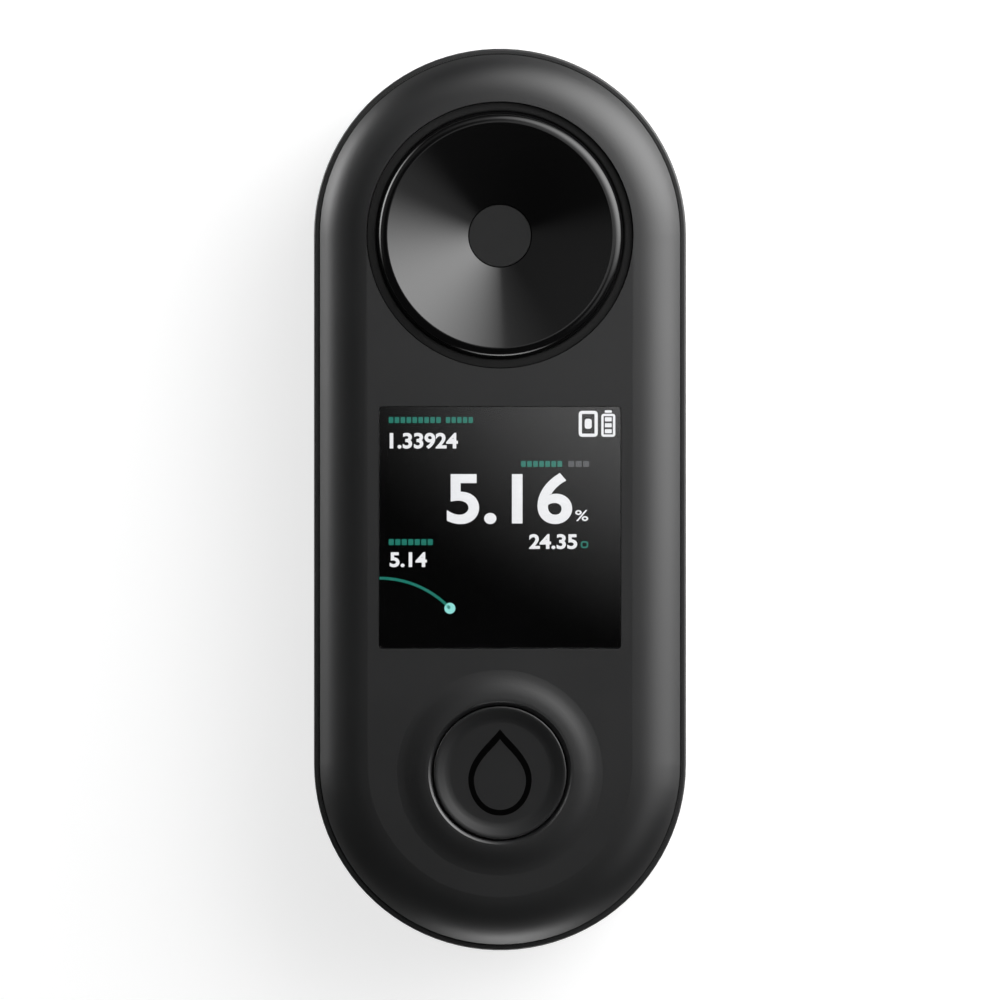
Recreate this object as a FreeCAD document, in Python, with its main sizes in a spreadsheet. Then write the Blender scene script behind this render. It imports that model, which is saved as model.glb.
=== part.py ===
import FreeCAD, Part
import Sketcher
import math
import os
import re

# A pocket digital refractometer, lying on its back, in millimetres.
# X runs across the body, Y along it towards the sample well and Z up out of the face.

SIZES = {
    # Whole body
    "body_width": 42.7,
    "face_level": 19.5,
    "split_level": 6.5,
    "shoulder_width": 6.2,
    "shoulder_radius": 7.2,
    "rim_step": 0.7,
    "rim_drop": 0.45,
    "rim_round": 0.25,
    "rim_groove_width": 0.16,
    "rim_groove_depth": 0.3,
    "back_radius": 4.0,
    "face_wall": 2.2,
    "side_wall": 1.5,
    "back_wall": 1.8,
    "edge_break": 0.12,
    "seat_gap": 0.03,
    "moving_gap": 0.1,
    # Joint between the two covers
    "lip_height": 1.5,
    "lip_wall": 0.9,
    "lip_gap": 0.1,
    "gasket_inset": 0.35,
    "gasket_width": 0.7,
    "gasket_height": 0.5,
    # Sample well
    "well_shift": 0.1,
    "well_gap": 0.15,
    "cone_depth": 5.2,
    "bead_rise": 0.6,
    "bead_radius": 1.55,
    "dish_seal_width": 0.8,
    "dish_seal_recess": 0.5,
    "dish_seal_sheet": 0.8,
    "dish_flange_reach": 1.7,
    "dish_flange_height": 1.5,
    "hub_inset": 0.35,
    "hub_height": 2.0,
    "clamp_overlap": 0.6,
    "clamp_height": 1.1,
    "clamp_inset": 1.95,
    "clamp_boss_radius": 1.6,
    "clamp_lug_radius": 1.5,
    # Prism and light path
    "prism_radius": 3.54,
    "prism_width": 8.0,
    "prism_length": 9.0,
    "prism_height": 4.0,
    "prism_seal_height": 0.3,
    "path_angle": 40.0,
    "path_length": 12.5,
    "path_radius": 1.9,
    "optics_head_gap": 1.25,
    "optics_top_length": 18.0,
    "optics_face": 10.0,
    "optics_ear_edge": 1.6,
    "optics_ear_height": 1.6,
    "optics_screw_inset": 3.6,
    "optics_screw_along": 6.0,
    "lens_radius": 2.5,
    "lens_height": 1.6,
    "lens_crown": 0.5,
    "lens_place": 4.4,
    "lamp_radius": 1.5,
    "lamp_height": 1.7,
    "sensor_side": 3.4,
    "sensor_height": 1.2,
    "path_board_inset": 0.5,
    "path_board_length": 9.4,
    "path_board_height": 0.8,
    "path_screw_inset": 1.2,
    "path_screw_up": 3.3,
    "probe_radius": 0.8,
    "probe_height": 1.5,
    "probe_inset": 1.7,
    # Display
    "window_edge_gap": 0.45,
    "window_gap": 0.04,
    "window_corner": 0.4,
    "window_flange_reach": 1.55,
    "window_flange_height": 0.8,
    "adhesive_height": 0.15,
    "adhesive_inset": 0.35,
    "panel_extra_width": 3.8,
    "panel_extra_length": 4.3,
    "panel_height": 1.9,
    "panel_shift": -0.6,
    "frame_plate": 1.0,
    "frame_wall": 1.0,
    "frame_wall_rise": 1.4,
    "frame_gap": 0.15,
    "frame_lip_side": 3.25,
    "frame_lip_end": 4.0,
    "ribbon_width": 12.0,
    "ribbon_height": 0.2,
    "ribbon_reach": 4.0,
    # Button
    "button_shift": 0.9,
    "button_gap": 0.75,
    "button_travel": 0.35,
    "cap_radius": 7.95,
    "cap_gap": 0.15,
    "cap_rim_round": 0.25,
    "cap_slope_radius": 6.1,
    "cap_dish": 0.35,
    "cap_flange_radius": 8.7,
    "cap_flange_height": 0.9,
    "cap_wall": 1.25,
    "mound_radius": 11.8,
    "mound_crest_radius": 8.5,
    "mound_rise": 0.5,
    "membrane_radius": 9.6,
    "membrane_rim_width": 0.8,
    "membrane_sheet": 0.5,
    "membrane_boss_radius": 2.0,
    "locating_rib_width": 0.8,
    "locating_rib_height": 1.4,
    "switch_side": 6.2,
    "switch_body_height": 2.2,
    "switch_height": 3.3,
    "switch_floor": 0.4,
    "switch_roof": 0.6,
    "switch_chamber_radius": 2.5,
    "plunger_radius": 1.6,
    "plunger_flange_radius": 2.3,
    "dome_radius": 2.3,
    "dome_sheet": 0.1,
    # Main board
    "board_gap": 1.85,
    "board_height": 1.0,
    "board_side_gap": 2.45,
    "board_end_edge": 2.3,
    "board_notch_gap": 15.5,
    "board_notch_side": 0.3,
    "post_inset": 2.2,
    "post_upper_gap": 2.65,
    "post_lower_gap": 3.85,
    "post_radius": 2.1,
    "pillar_radius": 1.4,
    "web_width": 2.5,
    "web_bite": 2.1,
    "case_screw_radius": 1.0,
    "case_head_radius": 1.9,
    "case_head_height": 1.3,
    "case_head_recess": 2.0,
    "case_thread_length": 3.0,
    "case_socket_radius": 0.75,
    "socket_depth_share": 0.6,
    "board_screw_inset": 3.2,
    "small_screw_radius": 0.7,
    "small_head_radius": 1.25,
    "small_head_height": 0.8,
    "small_socket_radius": 0.55,
    "small_thread_length": 1.7,
    "screw_bite": 0.05,
    # Power
    "battery_side_gap": 1.55,
    "battery_length": 40.0,
    "battery_height": 6.0,
    "battery_gap": 14.8,
    "battery_round": 1.2,
    "battery_pad_height": 0.5,
    "cradle_gap": 0.4,
    "cradle_wall": 0.8,
    "cradle_height": 4.0,
    "socket_width": 8.94,
    "socket_height": 3.26,
    "socket_length": 7.35,
    "socket_wall": 0.3,
    "socket_recess": 0.6,
    "socket_opening_gap": 0.13,
    "tongue_width": 6.7,
    "tongue_height": 0.7,
    "tongue_length": 5.0,
    "tongue_root": 1.25,
    "socket_seal_width": 0.8,
    "socket_seal_depth": 1.6,
    "lead_radius": 0.35,
    "lead_bend": 1.2,
    "lead_pitch": 2.4,
    # Parts on the main board
    "connector_length": 3.0,
    "connector_height": 1.2,
    "processor_side": 8.0,
    "processor_height": 0.9,
    "processor_across": 5.5,
    "processor_shift": 1.3,
    "radio_width": 9.0,
    "radio_length": 12.0,
    "radio_height": 1.5,
    "radio_across": -6.0,
    "radio_shift": 2.3,
    "charger_side": 4.0,
    "charger_height": 0.8,
    "charger_inset": 9.9,
    "charger_shift": 6.7,
    "coil_side": 4.2,
    "coil_height": 1.7,
    "coil_corner": 0.85,
    "coil_inset": 8.9,
    "coil_shift": 0.7,
    "buzzer_radius": 4.5,
    "buzzer_height": 2.2,
    "buzzer_port_radius": 0.9,
    "buzzer_inset": 7.9,
    "buzzer_shift": 2.2,
    "sensor_plug_width": 8.0,
    "sensor_plug_inset": 2.4,
    "sensor_ribbon_gap": 0.55,
    "sensor_ribbon_up": 3.0,
    "lamp_plug_side": 4.0,
    "lamp_plug_inset": 3.2,
    "lamp_plug_drop": 4.65,
    "lamp_lead_step": 2.3,
    "lamp_lead_level": 6.6,
    "lamp_lead_pitch": 0.9,
    "lamp_pad_pitch": 0.6,
    "battery_plug_width": 5.0,
    "battery_plug_length": 4.0,
    "battery_plug_height": 2.0,
    "battery_lead_run": 3.5,
    "battery_lead_level": 6.3,
    "chip_width": 1.6,
    "chip_length": 0.8,
    "chip_height": 0.6,
    "chip_pitch": 2.6,
}

# Sizes that follow from the ones above
DERIVED = {
    "end_radius": "body_width / 2",
    "cavity_radius": "end_radius - side_wall",
    "under_face": "face_level - face_wall",
    "inner_shoulder": "shoulder_width - face_wall",
    "shoulder_foot": "end_radius - rim_step",
    "shoulder_block": "end_radius - shoulder_width + shoulder_radius",
    "shoulder_fall": "shoulder_radius - sqrt(shoulder_radius ^ 2 - (shoulder_width - rim_step) ^ 2)",
    "rim_level": "face_level - shoulder_fall - rim_drop",
    "clamp_circle": "cavity_radius - clamp_inset",
    "dish_flange_radius": "clamp_circle - clamp_boss_radius - moving_gap",
    "clamp_radius": "dish_flange_radius + clamp_overlap",
    "cone_radius": "dish_flange_radius - dish_flange_reach - bead_radius",
    "hub_radius": "cone_radius - hub_inset",
    "window_flange_side": "2 * (cavity_radius - inner_shoulder - window_edge_gap)",
    "window_side": "window_flange_side - 2 * window_flange_reach",
    "panel_width": "window_side + panel_extra_width",
    "panel_length": "window_side + panel_extra_length",
    "frame_width": "panel_width + 2 * (frame_gap + frame_wall)",
    "frame_length": "panel_length + 2 * (frame_gap + frame_wall)",
    "well_to_button": "clamp_radius + well_gap + frame_length + button_gap + membrane_radius",
    "end_offset": "(well_to_button + well_shift - button_shift) / 2",
    "body_length": "2 * end_offset + body_width",
    "well_offset": "end_offset - well_shift",
    "panel_offset": "well_offset - clamp_radius - well_gap - frame_length / 2",
    "display_offset": "panel_offset - panel_shift",
    "button_offset": "well_offset - well_to_button",
    "inner_back_radius": "back_radius - back_wall",
    "lip_outer": "cavity_radius - lip_gap",
    "crest_level": "face_level + bead_rise",
    "prism_level": "crest_level - cone_depth",
    "neck_radius": "cone_radius + bead_radius",
    "opening_radius": "neck_radius + dish_seal_width",
    "flange_front": "under_face - dish_seal_sheet",
    "flange_back": "flange_front - dish_flange_height",
    "hub_back": "flange_back - hub_height",
    "optics_screw_across": "hub_radius - optics_screw_inset",
    "optics_width": "2 * (optics_screw_across - small_head_radius - optics_head_gap)",
    "path_board_width": "optics_width - 2 * path_board_inset",
    "path_screw_across": "path_board_width / 2 - path_screw_inset",
    "sensor_ribbon_width": "2 * (path_screw_across - small_head_radius - sensor_ribbon_gap)",
    "optics_ear_width": "2 * (optics_screw_across + optics_ear_edge)",
    "optics_ear_length": "2 * (optics_screw_along + optics_ear_edge)",
    "probe_place": "hub_radius - probe_inset",
    "prism_hole": "prism_radius + 2 * seat_gap",
    "prism_shoulder": "hub_back - prism_seal_height",
    "prism_foot": "prism_shoulder - prism_height",
    "path_run": "cos(path_angle * 1 deg)",
    "path_drop": "sin(path_angle * 1 deg)",
    "lens_seat_radius": "lens_radius + seat_gap",
    "window_back": "under_face - adhesive_height - window_flange_height",
    "panel_back": "window_back - panel_height",
    "frame_back": "panel_back - frame_plate",
    "frame_opening_width": "panel_width - 2 * frame_lip_side",
    "frame_opening_length": "panel_length - 2 * frame_lip_end",
    "board_screw_across": "frame_width / 2 - board_screw_inset",
    "board_screw_along": "frame_length / 2 - board_screw_inset",
    "board_top": "frame_back - board_gap",
    "board_back": "board_top - board_height",
    "board_half_width": "cavity_radius - board_side_gap",
    "post_across": "board_half_width - post_inset",
    "post_upper": "panel_offset + frame_length / 2 + post_upper_gap",
    "post_lower": "panel_offset - frame_length / 2 - post_lower_gap",
    "board_end": "post_upper + board_end_edge",
    "board_notch": "well_offset - board_notch_gap",
    "board_notch_half_width": "hub_radius + board_notch_side",
    "hole_radius": "cap_radius + cap_gap",
    "mound_level": "face_level + mound_rise",
    "cap_flange_front": "under_face - moving_gap",
    "cap_back": "cap_flange_front - cap_flange_height",
    "membrane_back": "cap_back - membrane_sheet",
    "plunger_front": "board_top + switch_height",
    "plunger_shoulder": "board_top + switch_body_height - switch_roof - seat_gap",
    "dome_foot": "board_top + switch_floor",
    "dome_rise": "2 * button_travel",
    "plunger_foot": "dome_foot + dome_rise",
    "battery_back": "back_wall + battery_pad_height",
    "battery_width": "2 * (lamp_lead_side - lead_radius - battery_side_gap)",
    "battery_offset": "well_offset - battery_gap - battery_length / 2",
    "battery_plug_along": "battery_offset - battery_length / 2 - battery_lead_run",
    "processor_along": "panel_offset + processor_shift",
    "radio_along": "panel_offset + radio_shift",
    "charger_across": "board_half_width - charger_inset",
    "charger_along": "button_offset - charger_shift",
    "coil_across": "board_half_width - coil_inset",
    "coil_along": "button_offset - coil_shift",
    "buzzer_across": "buzzer_inset - board_half_width",
    "buzzer_along": "button_offset - buzzer_shift",
    "sensor_plug_along": "board_notch - sensor_plug_inset",
    "lamp_plug_across": "board_half_width - lamp_plug_inset",
    "lamp_plug_along": "panel_offset + board_screw_along - lamp_plug_drop",
    "lamp_lead_side": "lamp_plug_across - lamp_lead_step",
    "socket_middle": "board_back - socket_height / 2",
    "socket_mouth": "body_length / 2 - socket_recess",
    "small_hole_radius": "small_screw_radius + screw_bite",
    "case_hole_radius": "case_screw_radius + screw_bite",
}

doc = FreeCAD.newDocument("refractometer")
sheet = doc.addObject("Spreadsheet::Sheet", "Sizes")
for row, (alias, number) in enumerate(SIZES.items(), start=1):
    sheet.set(f"A{row}", alias)
    sheet.set(f"B{row}", str(number))
    sheet.setAlias(f"B{row}", alias)
doc.recompute()

pieces = {}


def formula(text):
    """Turn a formula in plain words into one that reads the sheet."""

    def cell(match):
        word = match.group()
        if word in SIZES:
            return f"Sizes.{word}"
        if word in DERIVED:
            return f"({formula(DERIVED[word])})"
        return word

    return re.sub(r"[a-z_]+", cell, str(text))


def value(text):
    """The number that a formula gives at the present sizes."""
    return float(sheet.evalExpression(formula(text)))


def bind(item, **properties):
    """Bind properties to formulas; an underscore in a property's name stands for a dot."""
    for name, text in properties.items():
        item.setExpression(name.replace("_", "."), formula(text))


def place(item, across="0", along="0", up="0"):
    """Put a piece where the formulas say."""
    bind(item, Placement_Base_x=across, Placement_Base_y=along, Placement_Base_z=up)


def keep(name, item):
    """Name a finished piece, so that it is checked and written."""
    item.Label = name
    pieces[name] = item
    return item


# Sketches and features


def to(across, along):
    """A straight side of an outline, to this corner."""
    return (across, along)


def round_to(across, along, centre_across, centre_along, left=True):
    """A round side of an outline, to this corner about a centre, turning left or right."""
    return (across, along, centre_across, centre_along, left)


def new_body(name):
    return keep(name, doc.addObject("PartDesign::Body", name))


def new_sketch(body, plane="XY_Plane", lift="0"):
    sketch = body.newObject("Sketcher::SketchObject", "outline")
    origin = [feature for feature in body.Origin.OriginFeatures if feature.Role == plane]
    sketch.AttachmentSupport = [(origin[0], "")]
    sketch.MapMode = "FlatFace"
    bind(sketch, AttachmentOffset_Base_z=lift)
    return sketch


def fix(sketch, kind, edge, point, text):
    """Hold one point of a sketch at a distance from its origin, or a circle at a radius."""
    if kind == "Radius":
        constraint = Sketcher.Constraint(kind, edge, value(text))
    else:
        constraint = Sketcher.Constraint(kind, -1, 1, edge, point, value(text))
    index = sketch.addConstraint(constraint)
    name = f"size{index}"
    sketch.renameConstraint(index, name)
    sketch.setExpression(f"Constraints.{name}", formula(text))


def draw_outline(sketch, sides):
    """Draw a closed outline of straight and round sides, each held by the sheet's sizes."""
    ends = []
    corners = [(value(side[0]), value(side[1])) for side in sides]
    for number, side in enumerate(sides):
        start = corners[number - 1]
        stop = corners[number]
        if len(side) == 2:
            line = Part.LineSegment(FreeCAD.Vector(*start, 0), FreeCAD.Vector(*stop, 0))
            edge = sketch.addGeometry(line)
            ends.append((edge, 1, 2))
            fix(sketch, "DistanceX", edge, 2, side[0])
            fix(sketch, "DistanceY", edge, 2, side[1])
            continue
        centre = (value(side[2]), value(side[3]))
        first = math.atan2(start[1] - centre[1], start[0] - centre[0])
        last = math.atan2(stop[1] - centre[1], stop[0] - centre[0])
        reach = math.hypot(start[0] - centre[0], start[1] - centre[1])
        circle = Part.Circle(FreeCAD.Vector(*centre, 0), FreeCAD.Vector(0, 0, 1), reach)
        if side[4]:
            edge = sketch.addGeometry(Part.ArcOfCircle(circle, first, last))
            ends.append((edge, 1, 2))
        else:
            edge = sketch.addGeometry(Part.ArcOfCircle(circle, last, first))
            ends.append((edge, 2, 1))
        fix(sketch, "DistanceX", edge, 3, side[2])
        fix(sketch, "DistanceY", edge, 3, side[3])
        if abs(math.sin(last)) > abs(math.cos(last)):
            fix(sketch, "DistanceX", edge, ends[-1][2], side[0])
        else:
            fix(sketch, "DistanceY", edge, ends[-1][2], side[1])
    for number, (edge, start, stop) in enumerate(ends):
        before = ends[number - 1]
        sketch.addConstraint(Sketcher.Constraint("Coincident", before[0], before[2], edge, start))


def draw_circle(sketch, radius, across="0", along="0"):
    centre = FreeCAD.Vector(value(across), value(along), 0)
    circle = Part.Circle(centre, FreeCAD.Vector(0, 0, 1), value(radius))
    edge = sketch.addGeometry(circle)
    fix(sketch, "Radius", edge, 0, radius)
    fix(sketch, "DistanceX", edge, 3, across)
    fix(sketch, "DistanceY", edge, 3, along)


def stadium(radius):
    """The body's pill outline, drawn in or out to the given end radius."""
    return [
        to(radius, "end_offset"),
        round_to(f"-({radius})", "end_offset", "0", "end_offset"),
        to(f"-({radius})", "-end_offset"),
        round_to(radius, "-end_offset", "0", "-end_offset"),
    ]


def rectangle(width, length, across="0", along="0"):
    right = f"{across} + ({width}) / 2"
    left = f"{across} - ({width}) / 2"
    front = f"{along} - ({length}) / 2"
    back = f"{along} + ({length}) / 2"
    return [to(left, front), to(right, front), to(right, back), to(left, back)]


def rounded_rectangle(width, length, corner, across="0", along="0"):
    right = f"{across} + ({width}) / 2"
    left = f"{across} - ({width}) / 2"
    front = f"{along} - ({length}) / 2"
    back = f"{along} + ({length}) / 2"
    return [
        to(f"{right} - {corner}", front),
        round_to(right, f"{front} + {corner}", f"{right} - {corner}", f"{front} + {corner}"),
        to(right, f"{back} - {corner}"),
        round_to(f"{right} - {corner}", back, f"{right} - {corner}", f"{back} - {corner}"),
        to(f"{left} + {corner}", back),
        round_to(left, f"{back} - {corner}", f"{left} + {corner}", f"{back} - {corner}"),
        to(left, f"{front} + {corner}"),
        round_to(f"{left} + {corner}", front, f"{left} + {corner}", f"{front} + {corner}"),
    ]


def pad(body, sketch, height, down=False, both_ways=False):
    feature = body.newObject("PartDesign::Pad", "pad")
    feature.Profile = sketch
    feature.Reversed = down
    feature.Midplane = both_ways
    bind(feature, Length=height)
    sketch.Visibility = False
    return feature


def pocket(body, sketch, depth, up=False):
    """Cut a sketch into the body, down from its plane or up from it."""
    feature = body.newObject("PartDesign::Pocket", "pocket")
    feature.Profile = sketch
    feature.Reversed = up
    bind(feature, Length=depth)
    return feature


def turn(body, sides, offset="0", cut=False):
    """Turn an outline of radii and levels about the upright axis, as solid or as a cut."""
    sketch = new_sketch(body, "XZ_Plane", f"-({offset})")
    draw_outline(sketch, sides)
    feature = body.newObject("PartDesign::Groove" if cut else "PartDesign::Revolution", "turned")
    feature.Profile = sketch
    feature.ReferenceAxis = (sketch, ["V_Axis"])
    feature.Angle = 360
    return feature


def edges_at(shape, level, beyond):
    """Names of the edges that lie flat at a level, further than a distance from the middle line."""
    names = []
    for number, edge in enumerate(shape.Edges, start=1):
        box = edge.BoundBox
        middle = edge.valueAt((edge.FirstParameter + edge.LastParameter) / 2)
        reach = math.hypot(middle.x, max(abs(middle.y) - value("end_offset"), 0))
        flat = abs(box.ZMin - level) < 0.001 and abs(box.ZMax - level) < 0.001
        if flat and reach >= beyond + 0.001:
            names.append(f"Edge{number}")
    return names


def round_edges(body, level, radius, chamfer=False, beyond="0"):
    """Round or chamfer the edges of the body at a level, all or those beyond a distance."""
    doc.recompute()
    base = body.Tip
    names = edges_at(base.Shape, value(level), value(beyond))
    feature = body.newObject("PartDesign::Chamfer" if chamfer else "PartDesign::Fillet", "edge")
    feature.Base = (base, names)
    if chamfer:
        bind(feature, Size=radius)
    else:
        bind(feature, Radius=radius)
    return feature


def slab(name, width, length, height, corner=None):
    """A flat piece on its own body's origin."""
    body = new_body(name)
    sketch = new_sketch(body)
    if corner:
        draw_outline(sketch, rounded_rectangle(width, length, corner))
    else:
        draw_outline(sketch, rectangle(width, length))
    pad(body, sketch, height)
    return body


# Primitives and groups


def cylinder(radius, height, across="0", along="0", up="0"):
    item = doc.addObject("Part::Cylinder", "cylinder")
    bind(item, Radius=radius, Height=height)
    place(item, across, along, up)
    return item


def box(width, length, height, across="0", along="0", up="0"):
    """A box centred on a place, standing on its level."""
    item = doc.addObject("Part::Box", "box")
    bind(item, Width=length, Length=width, Height=height)
    place(item, f"{across} - ({width}) / 2", f"{along} - ({length}) / 2", up)
    return item


def fuse(*items):
    item = doc.addObject("Part::MultiFuse", "fused")
    item.Shapes = list(items)
    return item


def cut(base, *tools):
    item = doc.addObject("Part::Cut", "cut")
    item.Base = base
    item.Tool = fuse(*tools) if len(tools) > 1 else tools[0]
    return item


def group(name, items):
    item = doc.addObject("Part::Compound", name)
    item.Links = list(items)
    return keep(name, item)


def screw(shank_radius, shank_length, head_radius, head_height, socket_radius):
    """A cap screw with its head's seat at the origin and its shank standing up."""
    head = cylinder(head_radius, head_height, up=f"-({head_height})")
    shank = cylinder(shank_radius, shank_length)
    socket = doc.addObject("Part::Prism", "socket")
    socket.Polygon = 6
    bind(socket, Circumradius=socket_radius, Height=f"{head_height} * socket_depth_share")
    place(socket, up=f"-({head_height})")
    return cut(fuse(head, shank), socket)


def small_screw(grip):
    return screw(
        "small_screw_radius",
        f"{grip} + small_thread_length - screw_bite",
        "small_head_radius",
        "small_head_height",
        "small_socket_radius",
    )


def lean(item, angle):
    """Turn a piece about the crosswise axis, by a formula in degrees."""
    item.Placement.Rotation = FreeCAD.Rotation(FreeCAD.Vector(1, 0, 0), value(angle))
    bind(item, Placement_Rotation_Angle=f"({angle}) * 1 deg")


def on_path(item, side, distance, across="0", up="0"):
    """Lay a piece across the slanting light path, side 1 at the lamp and -1 at the sensor."""
    lean(item, f"{-side} * (90 + path_angle)")
    along = f"well_offset + ({side}) * (({distance}) * path_run + ({up}) * path_drop)"
    level = f"prism_level - ({distance}) * path_drop + ({up}) * path_run"
    place(item, across, along, level)
    return item


def ring_places(count, radius, first):
    """Formulas for places spaced evenly round a circle."""
    for number in range(count):
        angle = first + number * 360 / count
        yield f"{radius} * cos({angle} deg)", f"{radius} * sin({angle} deg)"


CLAMP_PLACES = list(ring_places(3, "clamp_circle", 90))
POST_PLACES = [
    (f"{side} * post_across", along) for side in (-1, 1) for along in ("post_lower", "post_upper")
]
OPTICS_SCREW_PLACES = [
    (f"{side} * optics_screw_across", f"{end} * optics_screw_along")
    for side in (-1, 1)
    for end in (-1, 1)
]
BOARD_SCREW_PLACES = [
    (f"{side} * board_screw_across", f"panel_offset + {end} * board_screw_along")
    for side in (-1, 1)
    for end in (-1, 1)
]


# Covers


def build_front_cover():
    # Outer shell: a wide block is rounded and trimmed to the shoulder's foot, then the wall goes
    # round it, with its rim step and a fine groove
    body = new_body("front_cover")
    sketch = new_sketch(body, lift="split_level")
    draw_outline(sketch, stadium("shoulder_block"))
    pad(body, sketch, "face_level - split_level")
    round_edges(body, "face_level", "shoulder_radius")
    sketch = new_sketch(body, lift="split_level")
    draw_outline(sketch, stadium("shoulder_block + shoulder_radius"))
    draw_outline(sketch, stadium("shoulder_foot"))
    pocket(body, sketch, "face_level", up=True)
    sketch = new_sketch(body, lift="split_level")
    draw_outline(sketch, stadium("end_radius"))
    pad(body, sketch, "rim_level - split_level")
    round_edges(body, "rim_level", "rim_round", beyond="shoulder_foot")
    sketch = new_sketch(body, lift="rim_level")
    draw_outline(sketch, stadium("shoulder_foot + rim_groove_width"))
    draw_outline(sketch, stadium("shoulder_foot"))
    pocket(body, sketch, "rim_groove_depth")

    # Hollow inside
    sketch = new_sketch(body, lift="split_level")
    draw_outline(sketch, stadium("cavity_radius"))
    pocket(body, sketch, "under_face - split_level", up=True)
    round_edges(body, "under_face", "inner_shoulder")

    # Raised collar round the button: a hollow foot curve, then a full crest curve
    span = "((mound_radius - mound_crest_radius) / 2)"
    bend = f"(({span} * {span} + mound_rise * mound_rise / 4) / mound_rise)"
    turn(
        body,
        [
            to("0", "under_face + face_wall / 2"),
            to("mound_radius", "under_face + face_wall / 2"),
            to("mound_radius", "face_level"),
            round_to(
                f"mound_radius - {span}",
                "face_level + mound_rise / 2",
                "mound_radius",
                f"face_level + {bend}",
                left=False,
            ),
            round_to(
                "mound_crest_radius",
                "mound_level",
                "mound_crest_radius",
                f"mound_level - {bend}",
            ),
            to("0", "mound_level"),
        ],
        "button_offset",
    )

    # Posts for the case screws, bosses for the dish clamp and the rib round the membrane
    sketch = new_sketch(body, lift="under_face + face_wall / 4")
    for across, along in POST_PLACES:
        draw_circle(sketch, "post_radius", across, along)
    pad(body, sketch, "under_face + face_wall / 4 - frame_back", down=True)
    sketch = new_sketch(body, lift="under_face")
    for across, along in CLAMP_PLACES:
        draw_circle(sketch, "clamp_boss_radius", across, f"well_offset + {along}")
    pad(body, sketch, "under_face - flange_back", down=True)
    sketch = new_sketch(body, lift="under_face")
    draw_circle(sketch, "membrane_radius + seat_gap + locating_rib_width", along="button_offset")
    draw_circle(sketch, "membrane_radius + seat_gap", along="button_offset")
    pad(body, sketch, "locating_rib_height", down=True)

    # Openings in the face
    sketch = new_sketch(body, lift="under_face")
    draw_circle(sketch, "dish_flange_radius + moving_gap", along="well_offset")
    pocket(body, sketch, "face_level")
    sketch = new_sketch(body, lift="mound_level")
    draw_circle(sketch, "opening_radius", along="well_offset")
    pocket(body, sketch, "face_level")
    sketch = new_sketch(body, lift="mound_level")
    side = "window_side + 2 * window_gap"
    draw_outline(sketch, rounded_rectangle(side, side, "window_corner", along="display_offset"))
    pocket(body, sketch, "face_level")
    turn(
        body,
        [
            to("0", "split_level"),
            to("hole_radius", "split_level"),
            to("hole_radius", "mound_level - edge_break"),
            to("hole_radius + edge_break", "mound_level"),
            to("hole_radius + edge_break", "mound_level + mound_rise"),
            to("0", "mound_level + mound_rise"),
        ],
        "button_offset",
        cut=True,
    )

    # Threaded holes from below
    sketch = new_sketch(body, lift="frame_back")
    for across, along in POST_PLACES:
        draw_circle(sketch, "case_hole_radius", across, along)
    pocket(body, sketch, "case_thread_length", up=True)
    sketch = new_sketch(body, lift="flange_back")
    for across, along in CLAMP_PLACES:
        draw_circle(sketch, "small_hole_radius", across, f"well_offset + {along}")
    pocket(body, sketch, "small_thread_length", up=True)

    # Groove for the housing seal in the lower edge
    sketch = new_sketch(body, lift="split_level")
    draw_outline(sketch, stadium("cavity_radius + gasket_inset + gasket_width + seat_gap"))
    draw_outline(sketch, stadium("cavity_radius + gasket_inset - seat_gap"))
    pocket(body, sketch, "gasket_height + seat_gap", up=True)

    # Opening for the charging socket
    sketch = new_sketch(body, "XZ_Plane", "body_length / 2 + side_wall")
    draw_outline(sketch, socket_outline("socket_opening_gap"))
    pocket(body, sketch, "3 * side_wall")


def socket_outline(grow):
    """The charging socket's pill outline in its end wall, drawn out by a margin."""
    radius = f"(socket_height / 2 + {grow})"
    centre = "(socket_width / 2 - socket_height / 2)"
    return [
        round_to(centre, f"socket_middle - {radius}", centre, "socket_middle", left=False),
        to(f"-{centre}", f"socket_middle - {radius}"),
        round_to(
            f"-{centre}",
            f"socket_middle + {radius}",
            f"-{centre}",
            "socket_middle",
            left=False,
        ),
        to(centre, f"socket_middle + {radius}"),
    ]


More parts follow.
